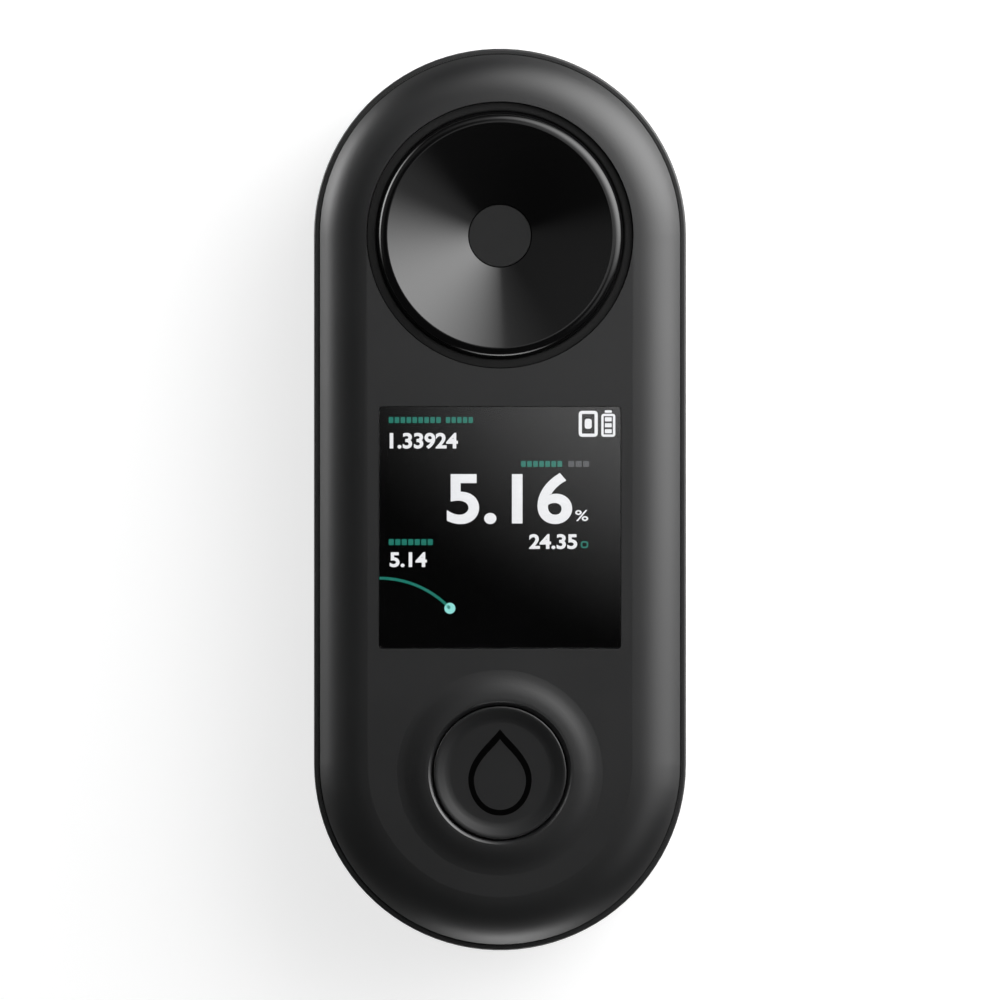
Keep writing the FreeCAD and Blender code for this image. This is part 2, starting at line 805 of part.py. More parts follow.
def build_rear_cover():
    body = new_body("rear_cover")
    sketch = new_sketch(body)
    draw_outline(sketch, stadium("end_radius"))
    pad(body, sketch, "split_level")
    round_edges(body, "0", "back_radius")
    round_edges(body, "split_level", "edge_break", chamfer=True)
    sketch = new_sketch(body, lift="split_level")
    draw_outline(sketch, stadium("end_radius - back_wall"))
    pocket(body, sketch, "split_level - back_wall")
    round_edges(body, "back_wall", "inner_back_radius")

    # Lip that rises inside the front cover, open at the charging socket
    sketch = new_sketch(body, lift="split_level - lip_wall")
    draw_outline(sketch, stadium("lip_outer"))
    draw_outline(sketch, stadium("lip_outer - lip_wall"))
    pad(body, sketch, "lip_height + lip_wall")
    sketch = new_sketch(body, lift="split_level + lip_height")
    width = "socket_width + 2 * socket_seal_width + 2 * lip_gap"
    draw_outline(sketch, rectangle(width, "4 * lip_wall", along="-end_offset - lip_outer"))
    pocket(body, sketch, "lip_height")

    # Towers under the board and a cradle for the battery
    sketch = new_sketch(body, lift="back_wall / 2")
    for across, along in POST_PLACES:
        draw_circle(sketch, "post_radius", across, along)
    pad(body, sketch, "board_back - back_wall / 2")
    sketch = new_sketch(body, lift="back_wall / 2")
    inner_width = "battery_width + 2 * cradle_gap"
    inner_length = "battery_length + 2 * cradle_gap"
    outer_width = f"{inner_width} + 2 * cradle_wall"
    outer_length = f"{inner_length} + 2 * cradle_wall"
    draw_outline(sketch, rectangle(outer_width, outer_length, along="battery_offset"))
    draw_outline(sketch, rectangle(inner_width, inner_length, along="battery_offset"))
    pad(body, sketch, "back_wall / 2 + cradle_height")
    sketch = new_sketch(body, lift="back_wall + cradle_height")
    draw_outline(
        sketch,
        rectangle("battery_width / 2", f"{outer_length} + cradle_wall", along="battery_offset"),
    )
    pocket(body, sketch, "cradle_height")

    # Screw holes and the recesses for their heads
    sketch = new_sketch(body)
    for across, along in POST_PLACES:
        draw_circle(sketch, "case_hole_radius", across, along)
    pocket(body, sketch, "board_back + back_wall", up=True)
    sketch = new_sketch(body)
    for across, along in POST_PLACES:
        draw_circle(sketch, "case_head_radius + moving_gap", across, along)
    pocket(body, sketch, "case_head_recess", up=True)


def build_housing_seal():
    body = new_body("housing_seal")
    sketch = new_sketch(body, lift="split_level")
    draw_outline(sketch, stadium("cavity_radius + gasket_inset + gasket_width"))
    draw_outline(sketch, stadium("cavity_radius + gasket_inset"))
    pad(body, sketch, "gasket_height")


def build_case_screws():
    screws = []
    length = "frame_back + case_thread_length - screw_bite - case_head_recess"
    for across, along in POST_PLACES:
        item = screw(
            "case_screw_radius",
            length,
            "case_head_radius",
            "case_head_height",
            "case_socket_radius",
        )
        place(item, across, along, "case_head_recess")
        screws.append(item)
    group("case_screws", screws)


# Sample well and its clamp


def build_sample_dish():
    body = new_body("sample_dish")
    turn(
        body,
        [
            to("prism_hole", "hub_back"),
            to("hub_radius", "hub_back"),
            to("hub_radius", "flange_back"),
            to("dish_flange_radius", "flange_back"),
            to("dish_flange_radius", "flange_front"),
            to("neck_radius", "flange_front"),
            to("neck_radius", "crest_level - bead_radius"),
            round_to("cone_radius", "crest_level", "cone_radius", "crest_level - bead_radius"),
            to("prism_hole", "prism_level"),
        ],
    )
    sketch = new_sketch(body, lift="hub_back")
    for across, along in OPTICS_SCREW_PLACES:
        draw_circle(sketch, "small_hole_radius", across, along)
    pocket(body, sketch, "small_thread_length", up=True)
    sketch = new_sketch(body, lift="hub_back")
    draw_circle(sketch, "probe_radius + moving_gap", "probe_place")
    pocket(body, sketch, "hub_height - prism_seal_height", up=True)
    place(body, along="well_offset")


def build_dish_seal():
    body = new_body("dish_seal")
    turn(
        body,
        [
            to("neck_radius + seat_gap", "flange_front"),
            to("dish_flange_radius", "flange_front"),
            to("dish_flange_radius", "under_face"),
            to("opening_radius - seat_gap", "under_face"),
            to("opening_radius - seat_gap", "face_level - dish_seal_recess"),
            to("neck_radius + seat_gap", "face_level - dish_seal_recess"),
        ],
    )
    place(body, along="well_offset")


def build_dish_clamp():
    body = new_body("dish_clamp_ring")
    sketch = new_sketch(body)
    draw_circle(sketch, "clamp_radius")
    pad(body, sketch, "clamp_height")
    sketch = new_sketch(body)
    for across, along in CLAMP_PLACES:
        draw_circle(sketch, "clamp_lug_radius", across, along)
    pad(body, sketch, "clamp_height")
    sketch = new_sketch(body, lift="clamp_height")
    draw_circle(sketch, "hub_radius + moving_gap")
    pocket(body, sketch, "clamp_height")
    sketch = new_sketch(body, lift="clamp_height")
    for across, along in CLAMP_PLACES:
        draw_circle(sketch, "small_hole_radius", across, along)
    pocket(body, sketch, "clamp_height")
    place(body, along="well_offset", up="flange_back - clamp_height")

    screws = []
    for across, along in CLAMP_PLACES:
        item = small_screw("clamp_height")
        place(item, across, f"well_offset + {along}", "flange_back - clamp_height")
        screws.append(item)
    group("dish_clamp_screws", screws)


# Prism and optics


def build_prism():
    body = new_body("prism")
    sketch = new_sketch(body, "YZ_Plane")
    foot = "prism_length / 2 - prism_height * path_drop / path_run"
    draw_outline(
        sketch,
        [
            to(f"-({foot})", "prism_foot"),
            to(foot, "prism_foot"),
            to("prism_length / 2", "prism_shoulder"),
            to("-prism_length / 2", "prism_shoulder"),
        ],
    )
    pad(body, sketch, "prism_width", both_ways=True)
    sketch = new_sketch(body, lift="prism_shoulder")
    draw_circle(sketch, "prism_radius")
    pad(body, sketch, "prism_level - prism_shoulder")
    place(body, along="well_offset")

    seal = new_body("prism_seal")
    sketch = new_sketch(seal)
    draw_circle(sketch, "prism_width / 2")
    draw_circle(sketch, "prism_radius + seat_gap")
    pad(seal, sketch, "prism_seal_height")
    place(seal, along="well_offset", up="prism_shoulder")


def build_optics_block():
    block = doc.addObject("PartDesign::Body", "optics_profile")
    half = "optics_face / 2"
    foot_along = f"(path_length * path_run - {half} * path_drop)"
    foot_level = f"(prism_level - path_length * path_drop - {half} * path_run)"
    top_along = f"(path_length * path_run + {half} * path_drop)"
    top_level = f"(prism_level - path_length * path_drop + {half} * path_run)"
    sketch = new_sketch(block, "YZ_Plane")
    draw_outline(
        sketch,
        [
            to(f"-{foot_along}", foot_level),
            to(foot_along, foot_level),
            to(top_along, top_level),
            to("optics_top_length / 2", "hub_back"),
            to("-optics_top_length / 2", "hub_back"),
            to(f"-{top_along}", top_level),
        ],
    )
    pad(block, sketch, "optics_width", both_ways=True)
    sketch = new_sketch(block, lift="hub_back")
    draw_outline(
        sketch, rounded_rectangle("optics_ear_width", "optics_ear_length", "small_head_radius")
    )
    pad(block, sketch, "optics_ear_height", down=True)
    sketch = new_sketch(block, lift="hub_back")
    for across, along in OPTICS_SCREW_PLACES:
        draw_circle(sketch, "small_hole_radius", across, along)
    pocket(block, sketch, "optics_ear_height")
    sketch = new_sketch(block, lift="hub_back")
    gap = "2 * moving_gap"
    draw_outline(sketch, rectangle(f"prism_width + {gap}", f"prism_length + {gap}"))
    pocket(block, sketch, "hub_back - prism_foot")
    place(block, along="well_offset")

    tools = []
    for side in (-1, 1):
        bore = cylinder("path_radius", "path_length")
        tools.append(on_path(bore, side, "prism_length / 2"))
        seat = cylinder("lens_seat_radius", "2 * lens_place")
        tools.append(on_path(seat, side, "path_length - lens_place"))
        for end in (-1, 1):
            hole = cylinder("small_hole_radius", "2 * small_thread_length")
            across = f"{end} * path_screw_across"
            up = f"{end} * path_screw_up"
            tools.append(on_path(hole, side, "path_length - small_thread_length", across, up))
    keep("optics_block", cut(block, *tools))

    screws = []
    for across, along in OPTICS_SCREW_PLACES:
        item = small_screw("optics_ear_height")
        place(item, across, f"well_offset + {along}", "hub_back - optics_ear_height")
        screws.append(item)
    group("optics_screws", screws)


def build_lens(name, side, both_faces):
    """A lens turned about its own axis, crowned towards the prism and, if asked, behind."""
    crown = "((lens_radius * lens_radius + lens_crown * lens_crown) / (2 * lens_crown))"
    body = new_body(name)
    back = "lens_height - lens_crown" if both_faces else "lens_height"
    sides = [
        round_to("lens_radius", "lens_crown", "0", crown),
        to("lens_radius", back),
    ]
    if both_faces:
        sides.append(round_to("0", "lens_height", "0", f"lens_height - {crown}"))
    else:
        sides.append(to("0", "lens_height"))
    sides.append(to("0", "0"))
    turn(body, sides)
    on_path(body, side, "path_length - lens_place")


def build_light_parts():
    build_lens("condenser_lens", 1, both_faces=False)
    build_lens("imaging_lens", -1, both_faces=True)

    lamp = new_body("lamp")
    bulb = "lamp_radius / 2"
    turn(
        lamp,
        [
            to(f"lamp_radius - {bulb}", "0"),
            round_to("lamp_radius", bulb, f"lamp_radius - {bulb}", bulb),
            to("lamp_radius", "lamp_height"),
            to("0", "lamp_height"),
            to("0", "0"),
        ],
    )
    on_path(lamp, 1, "path_length - lamp_height")

    sensor = slab("line_sensor", "sensor_side", "sensor_side", "sensor_height")
    on_path(sensor, -1, "path_length - sensor_height")

    screws = []
    for name, side in (("lamp_board", 1), ("sensor_board", -1)):
        board = new_body(name)
        sketch = new_sketch(board)
        draw_outline(sketch, rectangle("path_board_width", "path_board_length"))
        for end in (-1, 1):
            draw_circle(
                sketch,
                "small_hole_radius",
                f"{end} * path_screw_across",
                f"{-side * end} * path_screw_up",
            )
        pad(board, sketch, "path_board_height")
        on_path(board, side, "path_length")
        for end in (-1, 1):
            item = small_screw("path_board_height")
            across = f"{end} * path_screw_across"
            up = f"{end} * path_screw_up"
            on_path(item, side, "path_length + path_board_height", across, up)
            lean(item, f"{side} * (90 - path_angle)")
            screws.append(item)
    group("path_board_screws", screws)

    probe = new_body("temperature_probe")
    sketch = new_sketch(probe)
    draw_circle(sketch, "probe_radius")
    pad(probe, sketch, "probe_height")
    top = "flange_back - prism_seal_height - seat_gap"
    place(probe, "probe_place", "well_offset", f"{top} - probe_height")


# Display


def build_display():
    window = new_body("display_window")
    sketch = new_sketch(window, lift="window_back")
    flange = "window_flange_side"
    draw_outline(sketch, rounded_rectangle(flange, flange, "window_corner"))
    pad(window, sketch, "window_flange_height")
    sketch = new_sketch(window, lift="window_back")
    draw_outline(sketch, rounded_rectangle("window_side", "window_side", "window_corner"))
    pad(window, sketch, "face_level - window_back")
    place(window, along="display_offset")

    adhesive = new_body("window_adhesive")
    sketch = new_sketch(adhesive)
    outer = "window_flange_side - 2 * window_gap"
    inner = "window_side + 2 * adhesive_inset"
    draw_outline(sketch, rounded_rectangle(outer, outer, "window_corner"))
    draw_outline(sketch, rounded_rectangle(inner, inner, "window_corner"))
    pad(adhesive, sketch, "adhesive_height")
    place(adhesive, along="display_offset", up="under_face - adhesive_height")

    panel = slab("display_panel", "panel_width", "panel_length", "panel_height", "window_corner")
    place(panel, along="panel_offset", up="panel_back")


def build_display_frame():
    body = new_body("display_frame")
    sketch = new_sketch(body, lift="frame_back")
    along = "panel_offset"
    corner = "frame_wall"
    draw_outline(sketch, rounded_rectangle("frame_width", "frame_length", corner, along=along))
    opening = rounded_rectangle(
        "frame_opening_width", "frame_opening_length", "frame_wall", along=along
    )
    draw_outline(sketch, opening)
    pad(body, sketch, "frame_plate")
    sketch = new_sketch(body, lift="frame_back")
    draw_outline(sketch, rounded_rectangle("frame_width", "frame_length", corner, along=along))
    inner_width = "panel_width + 2 * frame_gap"
    inner_length = "panel_length + 2 * frame_gap"
    draw_outline(sketch, rectangle(inner_width, inner_length, along=along))
    pad(body, sketch, "frame_plate + frame_wall_rise")

    # Ears between the cover's posts and the board, and pillars for the board's screws
    sketch = new_sketch(body, lift="board_top")
    for across, post in POST_PLACES:
        draw_circle(sketch, "post_radius", across, post)
    pad(body, sketch, "board_gap")
    for post, end in (("post_upper", 1), ("post_lower", -1)):
        root = f"(panel_offset + {end} * (frame_length / 2 - web_bite))"
        length = f"({end} * ({post} - {root}))"
        middle = f"({post} + {root}) / 2"
        for side in (-1, 1):
            sketch = new_sketch(body, lift="board_top")
            draw_outline(sketch, rectangle("web_width", length, f"{side} * post_across", middle))
            pad(body, sketch, "board_gap")
    sketch = new_sketch(body, lift="board_top")
    for across, post in BOARD_SCREW_PLACES:
        draw_circle(sketch, "pillar_radius", across, post)
    pad(body, sketch, "board_gap")
    sketch = new_sketch(body, lift="board_top")
    for across, post in POST_PLACES:
        draw_circle(sketch, "case_hole_radius", across, post)
    pocket(body, sketch, "board_gap + frame_plate", up=True)
    sketch = new_sketch(body, lift="board_top")
    for across, post in BOARD_SCREW_PLACES:
        draw_circle(sketch, "small_hole_radius", across, post)
    pocket(body, sketch, "small_thread_length", up=True)

    # Way out for the display's ribbon
    sketch = new_sketch(body, lift="frame_back + frame_plate + frame_wall_rise")
    width = "ribbon_width + 4 * frame_gap"
    notch = rectangle(width, "4 * frame_wall", along="panel_offset - frame_length / 2")
    draw_outline(sketch, notch)
    pocket(body, sketch, "frame_wall_rise + frame_plate")

    screws = []
    for across, post in BOARD_SCREW_PLACES:
        item = small_screw("board_height")
        place(item, across, post, "board_back")
        screws.append(item)
    group("board_screws", screws)


def build_display_ribbon():
    """A flat cable from the panel's lower end, round and back to its connector."""
    body = new_body("display_ribbon")
    sketch = new_sketch(body, "YZ_Plane")
    end = "(panel_offset - panel_length / 2)"
    top = "(panel_back + ribbon_height)"
    low = "(board_top + connector_height / 2)"
    bend = f"(({top} - {low}) / 2)"
    centre = f"({end} - ribbon_height)"
    level = f"({low} + {bend})"
    mouth = f"({end} + ribbon_reach)"
    draw_outline(
        sketch,
        [
            to(end, f"{top} + ribbon_height"),
            to(centre, f"{top} + ribbon_height"),
            round_to(centre, low, centre, f"{level} + ribbon_height / 2"),
            to(mouth, low),
            to(mouth, f"{low} + ribbon_height"),
            to(centre, f"{low} + ribbon_height"),
            round_to(centre, top, centre, f"{level} + ribbon_height / 2", left=False),
            to(end, top),
        ],
    )
    pad(body, sketch, "ribbon_width", both_ways=True)


# Button


def build_button():
    cap = new_body("button_cap")
    rim = "(cap_radius - cap_rim_round)"
    turn(
        cap,
        [
            to("membrane_boss_radius", "cap_back"),
            to("membrane_boss_radius", "mound_level - cap_dish - cap_wall"),
            to("cap_radius - cap_wall", "mound_level - cap_dish - cap_wall"),
            to("cap_radius - cap_wall", "cap_back"),
            to("cap_flange_radius", "cap_back"),
            to("cap_flange_radius", "cap_flange_front"),
            to("cap_radius", "cap_flange_front"),
            to("cap_radius", "mound_level - cap_rim_round"),
            round_to(rim, "mound_level", rim, "mound_level - cap_rim_round"),
            to("cap_slope_radius", "mound_level - cap_dish"),
            to("0", "mound_level - cap_dish"),
            to("0", "cap_back"),
        ],
    )
    place(cap, along="button_offset")

    membrane = new_body("button_membrane")
    rim = "membrane_radius - membrane_rim_width"
    turn(
        membrane,
        [
            to("membrane_boss_radius", "plunger_front"),
            to("membrane_boss_radius", "membrane_back"),
            to("membrane_radius", "membrane_back"),
            to("membrane_radius", "under_face"),
            to(rim, "under_face"),
            to(rim, "cap_back"),
            to("0", "cap_back"),
            to("0", "plunger_front"),
        ],
    )
    place(membrane, along="button_offset")


def build_switch():
    housing = slab("switch_body", "switch_side", "switch_side", "switch_body_height")
    hole = "plunger_radius + moving_gap"
    roof = "switch_body_height - switch_roof"
    turn(
        housing,
        [
            to("0", "switch_floor"),
            to("switch_chamber_radius", "switch_floor"),
            to("switch_chamber_radius", roof),
            to(hole, roof),
            to(hole, "switch_height"),
            to("0", "switch_height"),
        ],
        cut=True,
    )
    place(housing, along="button_offset", up="board_top")

    plunger = new_body("switch_plunger")
    turn(
        plunger,
        [
            to("plunger_flange_radius", "plunger_foot"),
            to("plunger_flange_radius", "plunger_shoulder"),
            to("plunger_radius", "plunger_shoulder"),
            to("plunger_radius", "plunger_front"),
            to("0", "plunger_front"),
            to("0", "plunger_foot"),
        ],
    )
    place(plunger, along="button_offset")

    dome = new_body("snap_dome")
    rise = "(dome_rise - dome_sheet)"
    bend = f"((dome_radius * dome_radius + {rise} * {rise}) / (2 * {rise}))"
    centre = f"(dome_foot + {rise} - {bend})"
    outer = f"sqrt(pow({bend} + dome_sheet; 2) - pow({bend} - {rise}; 2))"
    turn(
        dome,
        [
            to(outer, "dome_foot"),
            round_to("0", "dome_foot + dome_rise", "0", centre),
            to("0", f"dome_foot + {rise}"),
            round_to("dome_radius", "dome_foot", "0", centre, left=False),
        ],
    )
    place(dome, along="button_offset")


# Main board and what it carries


def build_main_board():
    body = new_body("main_board")
    sketch = new_sketch(body, lift="board_back")
    draw_outline(
        sketch,
        [
            to("board_half_width", "board_end"),
            to("board_notch_half_width", "board_end"),
            to("board_notch_half_width", "board_notch"),
            to("-board_notch_half_width", "board_notch"),
            to("-board_notch_half_width", "board_end"),
            to("-board_half_width", "board_end"),
            to("-board_half_width", "-end_offset"),
            round_to("board_half_width", "-end_offset", "0", "-end_offset"),
        ],
    )
    for across, along in POST_PLACES:
        draw_circle(sketch, "case_hole_radius", across, along)
    for across, along in BOARD_SCREW_PLACES:
        draw_circle(sketch, "small_hole_radius", across, along)
    pad(body, sketch, "board_height")


def mount_part(name, width, length, height, across, along, below=False, corner=None):
    """A part soldered to the top of the board, or below it."""
    body = slab(name, width, length, height, corner)
    place(body, across, along, f"board_back - ({height})" if below else "board_top")
    return body


def build_board_parts():
    side = "processor_side"
    mount_part("processor", side, side, "processor_height", "processor_across", "processor_along")
    mount_part(
        "radio_module",
        "radio_width",
        "radio_length",
        "radio_height",
        "radio_across",
        "radio_along",
        corner="edge_break",
    )
    mount_part(
        "charge_controller",
        "charger_side",
        "charger_side",
        "charger_height",
        "charger_across",
        "charger_along",
        below=True,
    )
    mount_part(
        "charging_coil",
        "coil_side",
        "coil_side",
        "coil_height",
        "coil_across",
        "coil_along",
        below=True,
        corner="coil_corner",
    )
    mount_part(
        "display_connector",
        "ribbon_width + connector_height",
        "connector_length",
        "connector_height",
        "0",
        "panel_offset - panel_length / 2 + ribbon_reach + connector_length / 2",
    )
    mount_part(
        "sensor_connector",
        "sensor_plug_width",
        "connector_length",
        "connector_height",
        "0",
        "sensor_plug_along",
        below=True,
    )
    mount_part(
        "lamp_connector",
        "lamp_plug_side",
        "lamp_plug_side",
        "connector_height",
        "lamp_plug_across",
        "lamp_plug_along",
        below=True,
    )
    mount_part(
        "battery_connector",
        "battery_plug_width",
        "battery_plug_length",
        "battery_plug_height",
        "0",
        "battery_plug_along",
        below=True,
    )

    buzzer = new_body("buzzer")
    sketch = new_sketch(buzzer)
    draw_circle(sketch, "buzzer_radius")
    pad(buzzer, sketch, "buzzer_height")
    sketch = new_sketch(buzzer)
    draw_circle(sketch, "buzzer_port_radius")
    pocket(buzzer, sketch, "buzzer_height / 2", up=True)
    place(buzzer, "buzzer_across", "buzzer_along", "board_back - buzzer_height")

    chips = []
    for row in range(3):
        for column in range(4):
            chips.append(
                box(
                    "chip_width",
                    "chip_length",
                    "chip_height",
                    f"{column - 1.5} * chip_pitch",
                    f"processor_along + processor_side + {row} * chip_pitch / 2",
                    "board_top",
                )
            )
    group("chip_components", chips)


def build_sensor_ribbon():
    """A flat cable from the sensor's board up to its connector under the main board."""
    body = new_body("sensor_ribbon")
    sketch = new_sketch(body, "YZ_Plane")
    reach = "(path_length + path_board_height)"
    start = f"(well_offset - {reach} * path_run - sensor_ribbon_up * path_drop)"
    low = f"(prism_level - {reach} * path_drop + sensor_ribbon_up * path_run)"
    stop = "(sensor_plug_along + connector_length / 2)"
    top = "(board_back - connector_height / 2)"
    first = f"({start} - ({start} - {stop}) / 3)"
    second = f"({stop} + ({start} - {stop}) / 3)"
    draw_outline(
        sketch,
        [
            to(start, low),
            to(f"{start} - ribbon_height * path_drop / path_run", f"{low} + ribbon_height"),
            to(first, f"{low} + ribbon_height"),
            to(second, f"{top} + ribbon_height"),
            to(stop, f"{top} + ribbon_height"),
            to(stop, top),
            to(second, top),
            to(first, low),
        ],
    )
    pad(body, sketch, "sensor_ribbon_width", both_ways=True)


# Power


def build_battery():
    cell = slab("battery", "battery_width", "battery_length", "battery_height", "battery_round")
    place(cell, along="battery_offset", up="battery_back")
    foam = slab(
        "battery_pad",
        "battery_width - 2 * cradle_wall",
        "battery_length - 2 * cradle_wall",
        "battery_pad_height",
    )
    place(foam, along="battery_offset", up="back_wall")


def build_socket():
    shell = new_body("socket_shell")
    sketch = new_sketch(shell, "XZ_Plane", "socket_mouth")
    draw_outline(sketch, socket_outline("0"))
    draw_outline(sketch, socket_outline("-socket_wall"))
    pad(shell, sketch, "socket_length", down=True)
    sketch = new_sketch(shell, "XZ_Plane", "socket_mouth - socket_length + socket_wall")
    draw_outline(sketch, socket_outline("0"))
    pad(shell, sketch, "socket_wall", down=True)

    tongue = new_body("socket_tongue")
    root = "socket_mouth - socket_length + socket_wall"
    middle = "socket_middle"
    sketch = new_sketch(tongue, "XZ_Plane", root)
    draw_outline(sketch, rectangle("tongue_width", "tongue_height", along=middle))
    pad(tongue, sketch, "tongue_length")
    sketch = new_sketch(tongue, "XZ_Plane", root)
    inner = "socket_height - 2 * socket_wall - 2 * seat_gap"
    draw_outline(sketch, rectangle("socket_width - socket_height", inner, along=middle))
    pad(tongue, sketch, "tongue_root")

    ring = doc.addObject("PartDesign::Body", "seal_ring")
    sketch = new_sketch(ring, "XZ_Plane", "body_length / 2 - side_wall - socket_seal_depth")
    draw_outline(sketch, socket_outline("socket_seal_width"))
    draw_outline(sketch, socket_outline("seat_gap"))
    pad(ring, sketch, "socket_seal_depth")
    cavity = doc.addObject("PartDesign::Body", "seal_limit")
    sketch = new_sketch(cavity, lift="split_level")
    draw_outline(sketch, stadium("cavity_radius - seat_gap"))
    pad(cavity, sketch, "face_level")
    seal = doc.addObject("Part::Common", "socket_seal")
    seal.Base = ring
    seal.Tool = cavity
    keep("socket_seal", seal)


# The largest share of a wire's straight run that one bend may take
BEND_SHARE = 0.45


def lead(points, radius, bend):
    """A round wire along straight runs joined by tangent arcs."""
    corners = [FreeCAD.Vector(*[value(text) for text in point]) for point in points]
    edges = []
    start = corners[0]
    for before, corner, after in zip(corners, corners[1:], corners[2:]):
        back = (before - corner).normalize()
        ahead = (after - corner).normalize()
        half = back.getAngle(ahead) / 2
        room = BEND_SHARE * min((before - corner).Length, (after - corner).Length)
        setback = min(value(bend) / math.tan(half), room)
        reach = setback * math.tan(half)
        first = corner + back * setback
        last = corner + ahead * setback
        middle = corner + (back + ahead).normalize() * (reach / math.sin(half) - reach)
        edges.append(Part.LineSegment(start, first).toShape())
        edges.append(Part.Arc(first, middle, last).toShape())
        start = last
    edges.append(Part.LineSegment(start, corners[-1]).toShape())
    path = Part.Wire(edges)
    circle = Part.Circle(corners[0], corners[1] - corners[0], value(radius))
    return path.makePipeShell([Part.Wire(circle.toShape())], True, False)


def build_leads():
    battery_leads = []
    lamp_leads = []
    for number, side in enumerate((-1, 1)):
        across = f"{side} * lead_pitch / 2"
        battery_leads.append(
            lead(
                [
                    (across, "battery_offset - battery_length / 2", "battery_lead_level"),
                    (across, "battery_plug_along", "battery_lead_level"),
                    (across, "battery_plug_along", "board_back - battery_plug_height"),
                ],
                "lead_radius",
                "lead_bend",
            )
        )
        middle = "(path_length + path_board_height / 2)"
        step = f"{number} * lamp_pad_pitch"
        start = f"well_offset + {middle} * path_run - {step} * path_drop"
        level = f"prism_level - {middle} * path_drop - {step} * path_run"
        run = f"lamp_lead_level + {1 - number} * lamp_lead_pitch"
        stop = f"lamp_plug_along - {side} * lamp_pad_pitch"
        lamp_leads.append(
            lead(
                [
                    ("path_board_width / 2", start, level),
                    ("lamp_lead_side - lead_pitch / 2", start, level),
                    ("lamp_lead_side", "well_offset - hub_radius", run),
                    ("lamp_lead_side", "post_upper - 2 * post_radius", run),
                    ("lamp_plug_across", stop, run),
                    ("lamp_plug_across", stop, "board_back - connector_height"),
                ],
                "lead_radius",
                "lead_bend",
            )
        )
    for name, wires in (("battery_leads", battery_leads), ("lamp_leads", lamp_leads)):
        item = doc.addObject("Part::Feature", name)
        item.Shape = Part.makeCompound(wires)
        keep(name, item)


build_front_cover()
build_rear_cover()
build_housing_seal()
build_case_screws()
build_sample_dish()
build_dish_seal()
build_dish_clamp()
build_prism()
build_optics_block()
build_light_parts()
build_display()
build_display_frame()
build_display_ribbon()
build_button()
build_switch()
build_main_board()
build_board_parts()
build_sensor_ribbon()
build_battery()
build_socket()
build_leads()

# Checks, then one file for each piece

doc.recompute()
for item in doc.Objects:
    if "Invalid" in item.State or "Error" in item.State:
        raise RuntimeError(f"{item.Label} failed: {item.State} {item.getStatusString()}")
for name, item in pieces.items():
    if item.Shape.isNull() or not item.Shape.isValid():
        raise RuntimeError(f"{name} has no valid shape")

os.makedirs("parts", exist_ok=True)
for name, item in pieces.items():
    item.Shape.exportStep(f"parts/{name}.step")
    print(f"{name}: {len(item.Shape.Solids)} solid(s), {item.Shape.Volume:.1f} cubic mm")
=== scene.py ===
import math

import bmesh
import bpy
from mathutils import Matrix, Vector


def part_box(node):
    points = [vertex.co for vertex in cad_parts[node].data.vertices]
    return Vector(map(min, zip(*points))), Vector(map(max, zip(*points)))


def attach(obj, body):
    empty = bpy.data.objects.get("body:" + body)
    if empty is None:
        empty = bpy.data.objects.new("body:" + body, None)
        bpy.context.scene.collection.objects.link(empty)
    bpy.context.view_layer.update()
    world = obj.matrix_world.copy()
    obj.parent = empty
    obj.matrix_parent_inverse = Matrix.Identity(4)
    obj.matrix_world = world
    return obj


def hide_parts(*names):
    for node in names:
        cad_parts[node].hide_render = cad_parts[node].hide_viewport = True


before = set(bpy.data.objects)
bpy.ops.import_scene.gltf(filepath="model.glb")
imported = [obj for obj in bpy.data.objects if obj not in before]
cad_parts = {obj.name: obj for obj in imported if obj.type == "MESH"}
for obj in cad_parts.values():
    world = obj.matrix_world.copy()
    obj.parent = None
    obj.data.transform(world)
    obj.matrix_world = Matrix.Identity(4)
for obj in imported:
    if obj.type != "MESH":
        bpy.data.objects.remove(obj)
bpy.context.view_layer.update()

MM = 0.001

# Boxes and places read off the solids, in metres
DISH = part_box("sample_dish")
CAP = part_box("button_cap")
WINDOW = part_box("display_window")
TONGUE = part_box("socket_tongue")
CELL_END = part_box("battery")[1].y
SEAL_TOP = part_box("dish_seal")[1].z / MM
WELL_Y = (DISH[0].y + DISH[1].y) / 2
BUTTON_Y = (CAP[0].y + CAP[1].y) / 2
SCREEN_Y = (WINDOW[0].y + WINDOW[1].y) / 2
FACE_Z = 19.5 * MM

# The picture's frame in pixels, and what a pixel spans on the object
FRAME = 1000
FRAME_MIDDLE = (500, 499.5)
PIXEL = 0.115 * MM


# Camera, straight above the face with a long lens

CAMERA_HEIGHT = 1.6
TRUE_LEVEL = 13.3 * MM  # where a pixel spans what is said above
SENSOR = 36

camera_data = bpy.data.cameras.new("camera")
camera_data.sensor_width = SENSOR
camera_data.lens = SENSOR * (CAMERA_HEIGHT - TRUE_LEVEL) / (FRAME * PIXEL)
camera_data.shift_y = (FRAME_MIDDLE[1] - FRAME / 2) / FRAME
camera_data.clip_start = 0.05
camera_data.clip_end = 20
camera = bpy.data.objects.new("camera", camera_data)
camera.location = (0, 0, CAMERA_HEIGHT)
bpy.context.collection.objects.link(camera)
bpy.context.scene.camera = camera
bpy.context.scene.view_settings.view_transform = "Standard"


# Node helpers


def add(tree, kind, **values):
    """A node with its settings and its unlinked inputs set by name, with _ for a space."""
    node = tree.nodes.new(kind)
    for name, value in values.items():
        title = name.replace("_", " ")
        if title in node.inputs:
            node.inputs[title].default_value = value
        else:
            setattr(node, name, value)
    return node


def link(tree, source, target):
    tree.links.new(source, target)


def feed(tree, node, values):
    """Fill a node's inputs in their order, each with a value or from a socket."""
    for target, value in zip(node.inputs, values):
        if isinstance(value, bpy.types.NodeSocket):
            link(tree, value, target)
        else:
            target.default_value = value


def maths(tree, operation, *values):
    node = add(tree, "ShaderNodeMath", operation=operation)
    feed(tree, node, values)
    return node.outputs["Value"]


